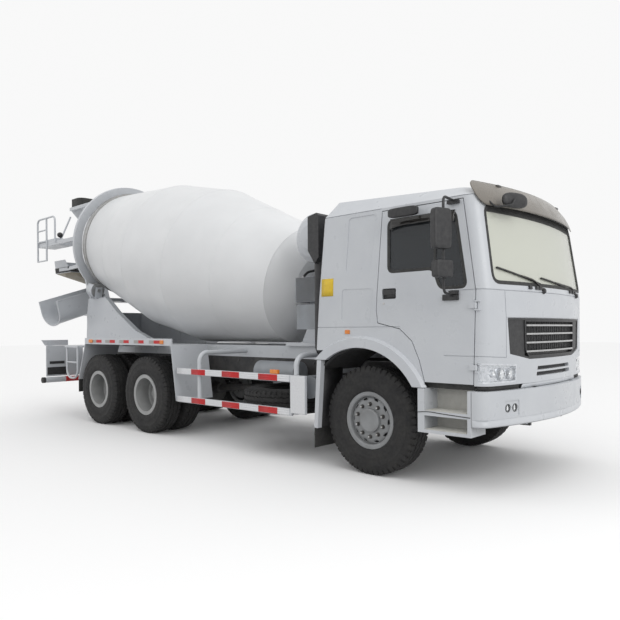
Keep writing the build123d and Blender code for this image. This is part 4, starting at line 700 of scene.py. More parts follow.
def frontPatch(corners, depth, nu=28, nv=5):
    # sheet between four corners on the front face
    return gridShape(onFront(patchGrid(corners, nu, nv), depth))


def sidePatch(corners, depth, side, nu=10, nv=6):
    # sheet between four corners on the cab's side
    return gridShape(onSide(patchGrid(corners, nu, nv), depth, side))


def denser(loop, step):
    # more points along the straight stretches of a closed outline, so that it can follow a curved face
    count = np.maximum(1, (np.linalg.norm(np.roll(loop, -1, 0) - loop, axis=1) / step).astype(int))
    start = np.repeat(np.arange(len(loop)), count)
    t = (np.arange(count.sum()) - np.repeat(np.cumsum(count) - count, count)) / np.repeat(count, count)
    return loop[start] * (1 - t[:, None]) + loop[(start + 1) % len(loop)] * t[:, None]


# windscreen, wipers and front panel

screenLook = {"outline": [(-1055, 2600), (1055, 2600), (1085, 1905), (-1085, 1905)], "cornerReach": 84.0,
              "rubberWidth": 34.0, "rubberHeight": 13.0, "facing": np.array([1, 0, 0.155]),
              # band: corners of the dark strip along the screen's top, a sun strip darkened further by painted
              # shade under the visor
              "band": [(-1045, 2548), (1045, 2548), (1035, 2598), (-1035, 2598)]}


def makeScreenTrim():
    # rubber swept round the screen's outline, and a dark band along its top: partly a dark sun strip, partly
    # painted shade under the visor
    look = screenLook
    loop = denser(roundedLoop(look["outline"], look["cornerReach"]), 60)
    section = flatSection(look["rubberWidth"], look["rubberHeight"])
    makePiece("screen_rubber", swept(onFront(loop, 5), section, True, look["facing"]), "rubber", "cab")
    makePiece("screen_sun_strip_and_shade", frontPatch(look["band"], 9, 36), "rubber", "cab", wall=1.2)


wiperLook = {"pivots": ((-282, 1853), (768, 1846)), "elbows": ((-470, 1950), (560, 1925)),
             "tips": ((-1020, 2040), (-295, 1979)), "inner": ((-330, 1918), (330, 1918)),
             "facing": np.array([1, 0, 0.15]), "cap": [(-6, 0), (-6, 30), (10, 30), (26, 20), (30, 0)]}


def makeWipers():
    # an arm from pivot to the blade's middle, and a rubber edge under a flat back
    look = wiperLook
    facing = look["facing"]
    arms, blades, caps = [], [], []
    for pivot, elbow, tip, inner in zip(look["pivots"], look["elbows"], look["tips"], look["inner"]):
        middle = ((tip[0] + inner[0]) / 2, (tip[1] + inner[1]) / 2)
        path = roundedPath(onFront([pivot, elbow, middle], -14), 60)
        arms.append(swept(path, flatSection(12, 9), normal=facing))
        t = np.linspace(0, 1, 14)[:, None]
        line = np.array(inner) * (1 - t) + np.array(tip) * t
        blades.append(swept(onFront(line, 3), flatSection(9, 13), normal=facing))
        blades.append(swept(onFront(line, -6), flatSection(14, 5), normal=facing))
        caps.append(revolved(look["cap"], onFront(pivot, 4), (1, 0, 0.1), 20))
    makePiece("wiper_arms", joined(*arms), "nut_black", "cab", slot="dark_plastic")
    makePiece("wiper_blades", joined(*blades), "rubber", "cab")
    makePiece("wiper_caps", joined(*caps), "dark_plastic", "cab")


gripLook = {"places": (-545, -420, -355, 480, 600, 700), "low": 1862.0, "high": 1893.0, "half": 30.0,
            "topHalf": 21.0}


def makeGrips():
    # small trapezoids under the screen, laid on the front
    look = gripLook
    half, topHalf = look["half"], look["topHalf"]
    grips = [frontPatch([(y - half, look["low"]), (y + half, look["low"]), (y + topHalf, look["high"]),
                         (y - topHalf, look["high"])], -8, 4, 3) for y in look["places"]]
    makePiece("screen_grips", joined(*grips), "dark_plastic", "cab", wall=18, bevel=3)


grilleLook = {"bars": (1522, 1442, 1360, 1278), "half": 604.0, "barHeight": 17.0, "ribs": 23, "low": 1262.0,
              "high": 1572.0, "slats": (1057, 1068, 1110, 1121), "slatHalf": 395.0}


def makeGrilleTrim():
    # cross bars, fine uprights behind them and the slats of the lower slot
    look = grilleLook
    half, rise = look["half"], look["barHeight"] / 2
    bars = [frontPatch(rect(-half, half, z - rise, z + rise), 4, 30, 3) for z in look["bars"]]
    makePiece("grille_bars", joined(*bars), "bar_trim", "cab", wall=5, bevel=1.5)
    uprights = [frontPatch(rect(y - 3, y + 3, look["low"], look["high"]), 26, 2, 8)
                for y in np.linspace(20 - half, half - 20, look["ribs"])]
    makePiece("grille_uprights", joined(*uprights), "dark_plastic", "cab", wall=8)
    slats = [frontPatch(rect(-look["slatHalf"], look["slatHalf"], z, z + 5), 34, 20, 2) for z in look["slats"]]
    makePiece("slot_slats", joined(*slats), "dark_plastic", "cab", wall=6)


lampLook = {"bowls": ((850, 1082, 46), (975, 1086, 52), (1085, 1096, 31)), "bowlDepth": 17.0,
            "cover": ((802, 1021), (1196, 1021), (1196, 1180), (792, 1152)), "shade": (800, 1190, 1012, 1022)}


def bowl(centre, radius, depth):
    # dish along x: s = -depth * (1 - (r / radius)^2), with a bulb cover in the middle
    r = np.linspace(radius * 0.2, radius, 9)
    dish = np.stack([-depth * (1 - (r / radius) ** 2), r], axis=1)
    core = np.array([(-depth, radius * 0.2), (-depth * 0.4, radius * 0.2), (-depth * 0.15, radius * 0.12),
                     (-depth * 0.1, 0)])
    return joined(revolved(dish, centre, (1, 0, 0), 28), revolved(core, centre, (1, 0, 0), 16))


def makeHeadlamps():
    # three dishes on each side behind a clear cover, with a dark shade under them
    look = lampLook
    for side, word in sides:
        dishes = [bowl(onFront((y, z), 15) * (1, side, 1), radius, look["bowlDepth"])
                  for y, z, radius in look["bowls"]]
        makePiece(f"reflectors_{word}", joined(*dishes), "chrome", "cab", wall=1.0)
        cover = frontPatch([(side * y, z) for y, z in look["cover"]], 2.5, 34, 8)
        makePiece(f"lamp_cover_{word}", cover, "lamp_cover", "cab", wall=3, slot="lamp")
        y0, y1, z0, z1 = look["shade"]
        shade = frontPatch(rect(side * y0, side * y1, z0, z1), 20, 20, 3)
        makePiece(f"lamp_shade_{word}", shade, "dark_plastic", "cab", wall=4)


bumperLook = {"reach": 3500.0, "front": 1531.0, "side": 1243.0, "turn": 1135.0, "rear": 1196.0, "low": 622.0,
              "edge": 630.0, "high": 691.0, "tuck": 6.0}
fogLook = {"places": (846, 938), "z": 780.0, "radius": 36.0}


def bumperX(y):
    # outer face of the bumper: an arc in plan, front - reach + sqrt(reach^2 - y^2)
    reach = bumperLook["reach"]
    return bumperLook["front"] - reach + np.sqrt(reach ** 2 - y ** 2)


def makeFogLamps():
    # two round lamps on each side: dish, clear cover and dark ring
    look = fogLook
    r, ahead = look["radius"], (1, 0, 0)
    dishes, covers, rings = [], [], []
    for side in (-1, 1):
        for y in look["places"]:
            place = np.array([bumperX(y) - 20, side * y, look["z"]])
            dishes.append(bowl(place, r - 3, 16))
            covers.append(revolved([(1, 0), (1, r), (6, r), (10, r * 0.6), (12, 0)], place, ahead, 28))
            ring = [(-8, r - 1), (-8, r + 1.6), (11, r + 1.6), (11, r - 1)]
            rings.append(revolved(ring, place, ahead, 28, True))
    makePiece("fog_reflectors", joined(*dishes), "chrome", "chassis", wall=1.0)
    makePiece("fog_covers", joined(*covers), "lamp_cover", "chassis", slot="lamp")
    makePiece("fog_rings", joined(*rings), "dark_plastic", "chassis")


gapLook = {"low": 941.0, "high": 995.0, "corner": 700.0, "outer": 1196.0, "depth": 24.0, "skirtLow": 944.0,
           "skirtDepth": 9.0, "skirtSlant": 40.0, "board": (650, 1185, 1140, 1146, 939.5, 992)}


def makeShadowBandsAndSkirt():
    # black bands under the lamps and over the steps, and the nose's white lower edge between the bands; the band
    # under each lamp is partly a black seal and partly painted shadow in the gap above the bumper, and the boards
    # over the steps are painted shadow in the gap under the doors
    look = gapLook
    corner, top = look["corner"], look["corner"] - look["skirtSlant"]
    low, high = look["low"], look["high"]
    bands = [frontPatch(rect(side * corner, side * look["outer"], low, high), look["depth"], 30, 3)
             for side in (-1, 1)]
    # partly a black seal, partly painted shadow in the gap between the cab and the bumper
    makePiece("lamp_seal_and_shadow", joined(*bands), "rubber", "cab", wall=5)
    skirt = frontPatch([(-corner, look["skirtLow"]), (corner, look["skirtLow"]), (top, high), (-top, high)],
                       look["skirtDepth"], 30, 3)
    makePiece("nose_skirt", skirt, "white_paint", "cab", wall=5)
    x0, x1, y0, y1, z0, z1 = look["board"]
    boards = [boxShape(x0, x1, side * y0, side * y1, z0, z1) for side in (-1, 1)]
    # boards of painted shadow in the gap between the door sill and the steps
    makePiece("step_shadow_board", joined(*boards), "rubber", "chassis")


def makeBumperLip():
    # lower edge of the bumper: a curve (1-t)^2 a + 2t(1-t) b + t^2 c round each corner, between side and front
    look = bumperLook
    y = np.linspace(-look["turn"], look["turn"], 41)
    front = np.stack([bumperX(y) - 3, y], axis=1)
    t = np.linspace(0, 1, 12)[:, None]
    start = np.array([bumperX(look["side"]) - 95, -look["side"]])
    bend = np.array([bumperX(look["side"]) + 4, -look["side"]])
    corner = (1 - t) ** 2 * start + 2 * t * (1 - t) * bend + t ** 2 * front[0]
    plan = np.concatenate([[(look["rear"], -look["side"])], corner[:-1], front, (corner * (1, -1))[-2::-1],
                           [(look["rear"], look["side"])]])
    outward = np.stack([np.gradient(plan[:, 1]), -np.gradient(plan[:, 0])], axis=1)
    outward /= np.linalg.norm(outward, axis=1, keepdims=True)
    inset = np.array([look["tuck"], 0, 0])[:, None]
    heights = np.array([look["low"], look["edge"], look["high"]])[:, None]
    places = plan[:, None] - inset * outward[:, None]
    points = np.concatenate([places, np.broadcast_to(heights, (*places.shape[:2], 1))], axis=2)
    makePiece("bumper_lip", gridShape(points), "white_paint", "chassis", wall=4)


makeScreenTrim()
makeWipers()
makeGrips()
makeGrilleTrim()
makeHeadlamps()
makeFogLamps()
makeShadowBandsAndSkirt()
makeBumperLip()
print("cab front ready")


# doors, mirrors and side details

doorLook = {"window": [(285, 2057), (277, 2560), (1010, 2560), (1128, 1868), (860, 1868), (790, 2057)],
            "cornerReach": 58.5, "rubberWidth": 30.0, "rubberHeight": 10.0, "bar": ((800, 2062), (806, 2556)),
            "handle": (212, 376, 1790, 1896), "handleY": (1187, 1201), "lock": (231, 1199, 1748)}


def makeDoorTrim():
    # window rubber and bar, the recess behind the handle, the handle and the lock
    look = doorLook
    x0, x1, z0, z1 = look["handle"]
    for side, word in sides:
        body = f"door_{word}"
        loop = denser(roundedLoop(look["window"], look["cornerReach"]), 80)
        section = flatSection(look["rubberWidth"], look["rubberHeight"])
        rubber = swept(onSide(loop, 5, side), section, True, np.array([0, side, 0.035]))
        makePiece(f"window_rubber_{word}", rubber, "rubber", body)
        liner = sidePatch(rect(x0 + 4, x1 - 4, z0 + 4, z1 - 4), 14.5, side, 3, 3)
        makePiece(f"handle_liner_{word}", liner, "dark_plastic", body, wall=1.5)
        y0, y1 = (side * y for y in look["handleY"])
        paddle = boxShape(x0 + 10, x1 - 10, y0, y1, z0 + 40, z1 - 12)
        makePiece(f"handle_{word}", paddle, "dark_plastic", body, bevel=6)
        x, y, z = look["lock"]
        lock = revolved([(0, 0), (0, 12), (3, 12), (4, 10), (4, 3), (2, 0)], (x, side * y, z), (0, side, 0), 20)
        makePiece(f"door_lock_{word}", lock, "machined_steel", body)
        bar = swept(onSide(look["bar"], 8, side), flatSection(22, 12), normal=np.array([0, side, 0.0]))
        makePiece(f"window_bar_{word}", bar, "rubber", body)


deflectorLook = {"x0": 300.0, "x1": 1010.0, "low": 2496.0, "high": 2576.0, "reach": 34.0}


def makeDeflectors():
    # smoked strip over the window: out from the door by reach * sin, fading at its ends
    look = deflectorLook
    t, h = np.meshgrid(np.linspace(0, 1, 24), np.linspace(0, 1, 7), indexing="ij")
    fade = (2 * t - 1) ** 4
    x = look["x0"] + (look["x1"] - look["x0"]) * t
    z = look["high"] - (look["high"] - look["low"]) * h - 30 * fade * h
    out = 3 + look["reach"] * np.sin(h * pi / 2) * (1 - 0.6 * fade)
    for side, word in sides:
        strip = gridShape(np.stack([x, side * (cabSideY(z) + out), z], axis=-1))
        makePiece(f"wind_deflector_{word}", strip, "smoked", f"door_{word}", 60, wall=3)


mirrorLook = {
    "turn": 20.0, "y": 1472.0, "rim": 16.0,
    "bow": [(1000, 1180, 2655), (1035, 1432, 2655), (1035, 1432, 1815), (990, 1210, 1795)], "bowRadius": 12.0,
    # x, z, depth, width, height of each head
    "heads": ((1035, 2366, 75, 190, 355), (1047, 2016, 88, 185, 152)),
    "feet": ((944, 1056, 1176, 1213, 2627, 2658), (898, 1056, 1200, 1220, 1752, 1806),
             (960, 1056, 1200, 1220, 1800, 1840)),
    "kerb": (520, -1285, 2605), "kerbSize": (330, 60, 90),
    "kerbArm": [(600, -1172, 2635), (600, -1235, 2635), (560, -1280, 2605)],
}


def makeMirrors():
    # heads turned towards the driver, on a bow from the roof edge to the waist, with flat feet on the door
    look = mirrorLook
    rim = look["rim"]
    for side, word in sides:
        body, middle, turn = f"door_{word}", side * look["y"], side * look["turn"]
        heads, plates = [], []
        for x, z, depth, width, height in look["heads"]:
            centre, back = np.array([x, middle, z]), x - depth / 2
            heads.append(turnedAbout(softBlock(centre, (depth, width, height), 0.26), centre, turn))
            across, up = width / 2 - rim, height / 2 - rim
            plate = boxShape(back - 1.5, back + 2, middle - across, middle + across, z - up, z + up)
            plates.append(turnedAbout(plate, centre, turn))
        bow = [(x, side * y, z) for x, y, z in look["bow"]]
        arms = [swept(roundedPath(bow, 60, 8), roundSection(look["bowRadius"], 12))]
        arms += [boxShape(x0, x1, side * y0, side * y1, z0, z1) for x0, x1, y0, y1, z0, z1 in look["feet"]]
        if side < 0:
            heads.append(softBlock(look["kerb"], look["kerbSize"], 0.4))
            arms.append(swept(roundedPath(look["kerbArm"], 20), roundSection(10, 10)))
        makePiece(f"mirror_heads_{word}", joined(*heads), "dark_plastic", body, 50,
                  replaces=[f"mirrors_{word}"])
        makePiece(f"mirror_arms_{word}", joined(*arms), "dark_plastic", body, 50)
        makePiece(f"mirror_glass_{word}", joined(*plates), "mirror_glass", body, bevel=1.2)


sideLook = {"marker": (-262, -200, 1199, 1211, 1448, 1489), "plate": (-588, -424, 1850, 2038)}


def makeSideDetails():
    # side marker lamp and yellow plate
    look = sideLook
    for side, word in sides:
        x0, x1, y0, y1, z0, z1 = look["marker"]
        lens = boxShape(x0, x1, side * y0, side * y1, z0, z1)
        makePiece(f"side_marker_{word}", lens, "orange_lens", "cab", bevel=5)
        plate = sidePatch(rect(*look["plate"]), -1.2, side, 4, 4)
        makePiece(f"yellow_plate_{word}", plate, "yellow_plate", "cab", wall=2)


visorLook = {
    "half": 1150.0, "end": 1042.0, "low": 2600.0, "high": 2840.0, "lowX": 1416.0, "highX": 1274.0,
    "planRadius": 3800.0, "bulge": 20.0, "rods": (-900, -350, 350, 900), "rodX": 1130.0, "rodZ": 2765.0,
    "lampY": (-720, 720), "lampZ": 2826.0, "lampSize": (44, 96, 26),
    "armStart": (-1010, 2640), "armEnd": [(1440, -935, 2590), (1440, -880, 2650)],
    "headPlace": (1418, -830, 2648), "headSize": (66, 300, 140), "headTurn": -20.0,
}


def visorX(y, z):
    # outer face: an arc in plan that leans back with height and bulges in the middle
    look = visorLook
    share = (np.asarray(z, float) - look["low"]) / (look["high"] - look["low"])
    lean = look["lowX"] + share * (look["highX"] - look["lowX"])
    arc = np.sqrt(look["planRadius"] ** 2 - np.asarray(y, float) ** 2) - look["planRadius"]
    return lean + look["bulge"] * np.sin(pi * share) + arc


def makeVisor():
    # sheet with half-round ends: its height shrinks over the last stretch as a circle does
    look = visorLook
    bend = look["end"] + (look["half"] - look["end"]) * np.sin(np.linspace(0, pi / 2, 14))
    y = np.concatenate([-bend[::-1], np.linspace(-look["end"], look["end"], 52)[1:-1], bend])[:, None]
    over = np.clip((np.abs(y) - look["end"]) / (look["half"] - look["end"]), 0, 1)
    v = np.linspace(-0.5, 0.5, 13)
    z = (look["low"] + look["high"]) / 2 + v * (look["high"] - look["low"]) * np.sqrt(1 - over ** 2)
    sheet = gridShape(np.stack([visorX(y, z) - 6, np.broadcast_to(y, z.shape), z], axis=-1))
    makePiece("visor_sheet", sheet, "visor_tint", "cab", 60, wall=10, replaces=["sun_visor"])
    rodZ, round9 = look["rodZ"], roundSection(9, 12)
    rods = [swept([(look["rodX"], y, rodZ), (float(visorX(y, rodZ)) - 10, y, rodZ)], round9)
            for y in look["rods"]]
    y, z = look["armStart"]
    x = float(visorX(y, z)) - 8
    arm = [(x, y, z), (x + 60, y, z - 60), *look["armEnd"]]
    rods.append(swept(roundedPath(arm, 25), round9))
    head = softBlock(look["headPlace"], look["headSize"], 0.75)
    head = turnedAbout(head, np.array(look["headPlace"]), look["headTurn"])
    makePiece("front_mirror", joined(head, *rods), "dark_plastic", "cab", 50)
    z = look["lampZ"]
    lamps = [softBlock((float(visorX(y, z + 2)) - 8, y, z), look["lampSize"], 0.5) for y in look["lampY"]]
    makePiece("visor_lamps", joined(*lamps), "smoked", "cab", 50)


archLook = {"x": -68.0, "z": 547.0, "radius": 752.0, "from": 33.0, "to": 146.0, "outer": 1196.0, "inner": 470.0,
            "guardLow": (-649, 430), "guardHigh": (-602, 1165), "guardY": (820, 1198)}


def makeArchLining():
    # sheet round the wheel opening: an arc about the opening's axis, and behind it a flat sheet
    look = archLook
    (lowX, lowZ), (highX, highZ), (y0, y1) = look["guardLow"], look["guardHigh"], look["guardY"]
    for side, word in sides:
        angle, across = np.meshgrid(np.radians(np.linspace(look["from"], look["to"], 30)),
                                    np.linspace(look["outer"], look["inner"], 8), indexing="ij")
        lining = gridShape(np.stack([look["x"] + look["radius"] * np.cos(angle), side * across,
                                     look["z"] + look["radius"] * np.sin(angle)], axis=-1))
        makePiece(f"arch_lining_{word}", lining, "dark_plastic", "cab", 60, wall=4)
        sheet = np.array([(lowX, side * y0, lowZ), (lowX, side * y1, lowZ), (highX, side * y1, highZ),
                          (highX, side * y0, highZ)]), [np.array([[0, 1, 2, 3]])]
        makePiece(f"guard_lining_{word}", sheet, "dark_plastic", "chassis", wall=4)


stepLook = {"x0": 716.0, "x1": 1154.0, "floors": (559.0, 735.0), "backs": ((560, 689), (736, 938)),
            "ribs": (1050, 1090, 1130, 1170, 1210), "backY": (1003, 1006), "treadY": (1006, 1240),
            "lineY": 1246.5, "line": ((648, 716), (760, 729), (900, 719), (1185, 706))}


def makeStepPlates():
    # a back plate, a tread and its ribs for each step, and a dark line along their outer side
    look = stepLook
    x0, x1, (b0, b1), (t0, t1) = look["x0"], look["x1"], look["backY"], look["treadY"]
    for side, word in sides:
        shapes = [boxShape(x0, x1, side * b1, side * b0, z0, z1) for z0, z1 in look["backs"]]
        shapes += [boxShape(x0, x1, side * t1, side * t0, z + 0.4, z + 4) for z in look["floors"]]
        shapes += [boxShape(x0 + 20, x1 - 20, side * y, side * (y + 10), z + 4, z + 9)
                   for z in look["floors"] for y in look["ribs"]]
        makePiece(f"step_plates_{word}", joined(*shapes), "step_grey", "chassis")
        path = roundedPath([(x, side * look["lineY"], z) for x, z in look["line"]], 60, 8)
        line = swept(path, flatSection(3, 7), normal=np.array([0, 0, 1.0]))
        makePiece(f"step_line_{word}", line, "rubber", "chassis")


makeDoorTrim()
makeDeflectors()
makeMirrors()
makeSideDetails()
makeVisor()
makeArchLining()
makeStepPlates()
print("cab sides ready")


# drum

drumForm = {"tilt": 12.7, "creaseX": -1922.0, "creaseZ": 2095.0, "barrelFront": 1760.0, "barrelRear": 2852.0,
            "barrel": 1189.0, "crease": 794.0, "ring": 4557.0, "ringRadius": 912.0, "mouth": 5500.0,
            "mouthRadius": 560.0, "flange": ((-330, 300), (-260, 480))}
drumAxis = np.array([-cos(radians(drumForm["tilt"])), 0, sin(radians(drumForm["tilt"]))])
drumOrigin = np.array([drumForm["creaseX"], 0, drumForm["creaseZ"]])


def drumRadius(s):
    # outer radius along the drum's axis, straight between its creases
    form = drumForm
    creases = [*form["flange"], (0, form["crease"]), (form["barrelFront"], form["barrel"]),
               (form["barrelRear"], form["barrel"]), (form["ring"], form["ringRadius"]),
               (form["mouth"], form["mouthRadius"])]
    return np.interp(s, *np.array(creases).T)


seamLook = {"places": (0, 880, 1760, 2852, 3700), "height": 3.2, "width": 9.0,
            "turns": (118, 298), "along": (2860, 4500)}


def makeDrumSeams():
    # low weld beads round the drum, and two flat seams along its rear cone
    look = seamLook
    rings = []
    for s in look["places"]:
        near = s + look["width"] * np.array([-1, -0.5, 0, 0.5, 1])
        lift = look["height"] * np.array([-3, 0.7, 1, 0.7, -3])
        bead = np.stack([near, drumRadius(near) + lift], axis=1)
        rings.append(revolved(bead, drumOrigin, drumAxis, 96, True))
    s = np.linspace(*look["along"], 24)[:, None]
    for turn in look["turns"]:
        out = around(drumAxis, radians(turn))
        line = drumOrigin + s * drumAxis + (drumRadius(s) + 0.5) * out
        rings.append(swept(line, flatSection(12, 4), normal=out))
    makePiece("drum_seams", joined(*rings), "drum_paint", "drum", 50)


bladeLook = {"turns": 1.6, "from": 3300.0, "to": 5440.0, "height": 260.0, "slant": 60.0, "wall": 16.0}


def makeBlades():
    # two helices inside the rear cone: angle grows with s, and the blade stands inwards from the wall
    look = bladeLook
    s, h = np.meshgrid(np.linspace(look["from"], look["to"], 110), np.linspace(0, 1, 5), indexing="ij")
    radius = drumRadius(s) - look["wall"] - look["height"] * h
    along = (s - look["slant"] * h)[..., None] * drumAxis
    blades = []
    for start in (0, pi):
        angle = start + (s - look["from"]) / (look["to"] - look["from"]) * look["turns"] * 2 * pi
        blades.append(gridShape(drumOrigin + along + radius[..., None] * around(drumAxis, angle)))
    makePiece("drum_blades", joined(*blades), "grey_steel", "drum", 50, wall=5, slot="drum_paint")


flangeLook = {"bolts": 24, "circle": 262.0, "s": -330.0}


def makeDrumBolts():
    # six-sided heads on a circle round the drum's axis
    look = flangeLook
    s = look["s"]
    places = look["circle"] * around(drumAxis, np.arange(look["bolts"]) * 2 * pi / look["bolts"])
    head = revolved([(s - 12, 0), (s - 12, 11), (s, 11), (s, 0)], drumOrigin, drumAxis, 6)
    makePiece("flange_bolts", repeated(head, places), "machined_steel", "drum")


makeDrumSeams()
makeBlades()
makeDrumBolts()
print("drum ready")


# hopper, funnel and work lamp

funnelLook = {"strip": (2646, 2745), "panel": (2458, 2634), "heights": (2450, 2640, 2890),
              "rearX": (-7845, -8130, -8150), "frontX": (-7555, -7510, -7470), "half": (145, 630, 650)}


def funnelRing(z, lift):
    # the funnel's four corners at a height, moved outwards by lift
    look = funnelLook
    rearX, frontX, half = (np.interp(z, look["heights"], look[k]) for k in ("rearX", "frontX", "half"))
    return [(x, y, z) for x, y in rect(rearX - lift, frontX + lift, -half - lift, half + lift)]


def makeFunnelBands():
    # each band is a stack of the funnel's own rings, a little proud of it
    for part, finish in (("strip", "rubber"), ("panel", "tan_panel")):
        rings = np.array([funnelRing(z, 3) for z in np.linspace(*funnelLook[part], 4)])
        makePiece(f"funnel_{part}", gridShape(rings, False, True), finish, "chassis", 20, wall=4)


workLampLook = {"place": (-7352, -905, 3300), "aim": (-0.9, 0.3, -0.25), "radius": 52.0,
                "foot": [(-7352, -905, 3230), (-7340, -908, 3262)]}


def makeWorkLamp():
    # shell and lens turned about the lamp's aim, on a round foot
    look = workLampLook
    r, place, aim = look["radius"], look["place"], look["aim"]
    profile = [(-50, 0), (-48, r * 0.4), (-20, r * 0.85), (0, r), (8, r), (8, r - 5), (2, r - 5)]
    shell = revolved(profile, place, aim, 28)
    lens = revolved([(3, r - 5), (7, r * 0.5), (8, 0)], place, aim, 28)
    foot = swept(look["foot"], roundSection(9, 10))
    makePiece("work_lamp", joined(shell, foot), "dark_plastic", "chassis")
    makePiece("work_lens", lens, "lamp_cover", "chassis", slot="lamp")


makeFunnelBands()
makeWorkLamp()
print("rear ready")


# frame details: bolts, hoses, tank bands, U bolts

boltLook = {"from": -7200.0, "to": 1100.0, "step": 290.0, "heights": (868.0, 1072.0), "radius": 13.0,
            "height": 12.0, "y": 425.0}


def makeFrameBolts():
    # six-sided heads in two rows along the outer face of each rail
    look = boltLook
    r, h = look["radius"], look["height"]
    x = np.arange(look["from"], look["to"], look["step"])
    grid = np.array([(px, 0, pz) for px in x for pz in look["heights"]])
    head = [(-1, 0), (-1, r), (h, r), (h, 0)]
    both = [repeated(revolved(head, (0, side * look["y"], 0), (0, side, 0), 6), grid) for side in (-1, 1)]
    makePiece("frame_bolts", joined(*both), "cast_grey", "chassis")


hoseLook = {"radius": 15.0, "bend": 66.0, "nut": [(-10, 0), (-10, 20), (24, 20), (24, 0)], "routes": [
    [(-1010, -735, 2050), (-900, -690, 2050), (-885, -560, 1700), (-905, -455, 1380), (-905, -440, 1300)],
    [(-1010, -735, 1980), (-880, -700, 1960), (-850, -600, 1640), (-870, -470, 1360), (-870, -445, 1290)],
    [(-1330, -700, 2120), (-1330, -640, 2200), (-1330, -380, 2260), (-1270, -150, 2240), (-1250, -120, 2140)]]}


def makeHoses():
    # round section swept along rounded routes, with a nut at each start
    look = hoseLook
    section = roundSection(look["radius"], 12)
    hoses = [swept(roundedPath(route, look["bend"], 8), section) for route in look["routes"]]
    makePiece("hydraulic_hoses", joined(*hoses), "hose", "chassis", 50)
    nuts = [revolved(look["nut"], route[0], np.subtract(route[1], route[0]), 6) for route in look["routes"]]
    makePiece("hose_nuts", joined(*nuts), "machined_steel", "chassis")


tankLook = {"centre": (-1125, 0, 2598), "bands": (-436, 436), "low": 289.5, "high": 293.5, "half": 22.0,
            "fillerY": 240.0,
            "filler": [(280, 0), (280, 62), (318, 62), (318, 70), (334, 70), (338, 62), (338, 0)]}


def makeTankBands():
    # flat rings round the tank's axis, and the filler on its top
    look = tankLook
    low, high, half = look["low"], look["high"], look["half"]
    bands = [revolved([(y - half, low), (y - half, high), (y + half, high), (y + half, low)], look["centre"],
                      (0, 1, 0), 64, True) for y in look["bands"]]
    makePiece("tank_bands", joined(*bands), "machined_steel", "chassis")
    x, y, z = look["centre"]
    filler = revolved(look["filler"], (x, look["fillerY"], z), (0, 0, 1), 32)
    makePiece("tank_filler", filler, "machined_steel", "chassis")


coolerLook = {"fins": 26, "x0": -1386.0, "x1": -974.0, "y0": -764.0, "y1": -759.0, "z0": 1838.0, "z1": 2122.0}


def makeCoolerFins():
    # one thin fin repeated at even heights
    look = coolerLook
    z = np.linspace(look["z0"], look["z1"], look["fins"])
    fin = boxShape(look["x0"], look["x1"], look["y0"], look["y1"], -2, 2)
    makePiece("cooler_fins", repeated(fin, np.stack([z * 0, z * 0, z], axis=1)), "cast_grey", "chassis")


# x from the axle, inner and outer y, low and high z, bend and radius of the U bolts
clampLook = {"front": (42, 352, 418, 420, 662, 24, 9), "rear": (40, 440, 540, 470, 704, 30, 10)}


def makeUBolts():
    # rods bent over the springs: up, across and down
    loops = []
    for side in (-1, 1):
        for axle, kind in ((0, "front"), (rearAxles[0][1], "rear"), (rearAxles[1][1], "rear")):
            dx, y0, y1, z0, z1, bend, radius = clampLook[kind]
            for x in (axle - dx, axle + dx):
                path = [(x, side * y0, z0), (x, side * y0, z1), (x, side * y1, z1), (x, side * y1, z0)]
                loops.append(swept(roundedPath(path, bend), roundSection(radius, 8)))
    makePiece("u_bolts", joined(*loops), "cast_grey", "chassis")


makeFrameBolts()
makeHoses()
makeTankBands()
makeCoolerFins()
makeUBolts()
print("frame details ready")


# seats

# each part's centre, size, lean, seams as (axis, place), and the axis across its broad faces
seatLook = {
    "squareness": 0.32, "crown": 16.0, "seamDepth": 7.0, "seamWidth": 9.0, "y": 800.0,
    "cushion": ((370, 0, 1570), (500, 496, 138), 0, [(0, -95), (0, 20), (1, -165), (1, 165)], 2),
    "back": ((50, 0, 1905), (122, 470, 520), -11.5, [(2, -130), (2, 0), (2, 130), (1, -160), (1, 160)], 0),
    "head_rest": ((-20, 0, 2255), (98, 275, 160), -8, [(2, 0)], 0),
    "mattress": ((-332, 0, 1615), (530, 2195, 126), 0, [(1, -550), (1, 0), (1, 550)], 2),
}


def pillow(part, y=0.0):
    # rounded box by powers of a sphere's directions, crowned on its broad faces, with sewn channels pressed in
    look = seatLook
    centre, size, lean, seams, crownAxis = look[part]
    unit = sphereGrid(44, 72)
    form = np.sign(unit) * np.abs(unit) ** look["squareness"]
    half = np.array(size, float) / 2
    p = form * (half - look["crown"] * (np.arange(3) == crownAxis))
    across = [a for a in range(3) if a != crownAxis]
    dome = np.prod([np.cos(np.clip(p[..., a] / half[a], -1, 1) * pi / 2) for a in across], axis=0)
    p[..., crownAxis] += np.sign(unit[..., crownAxis]) * look["crown"] * dome
    for axis, place in seams:
        press = look["seamDepth"] * np.exp(-((p[..., axis] - place) / look["seamWidth"]) ** 2)
        p[..., crownAxis] -= np.sign(p[..., crownAxis]) * press * (np.abs(form[..., crownAxis]) > 0.75)
    c, s = cos(radians(lean)), sin(radians(lean))
    turn = np.array([(c, 0, s), (0, 1, 0), (-s, 0, c)])
    return gridShape(p @ turn.T + np.array(centre, float) + (0, y, 0), False, True)


def makeSeats():
    # the first piece takes the place of the seats' solids
    replaced = ["seats"]
    for side, word in sides:
        for part in ("cushion", "back", "head_rest"):
            shape = pillow(part, side * seatLook["y"])
            piece = makePiece(f"seat_{part}_{word}", shape, "seat_fabric", "cab", 80, replaces=replaced)
            replaced = []
    mattress = makePiece("bunk_mattress", pillow("mattress"), "seat_fabric", "cab", 80)


makeSeats()
print("seats ready")


# floor, light and camera

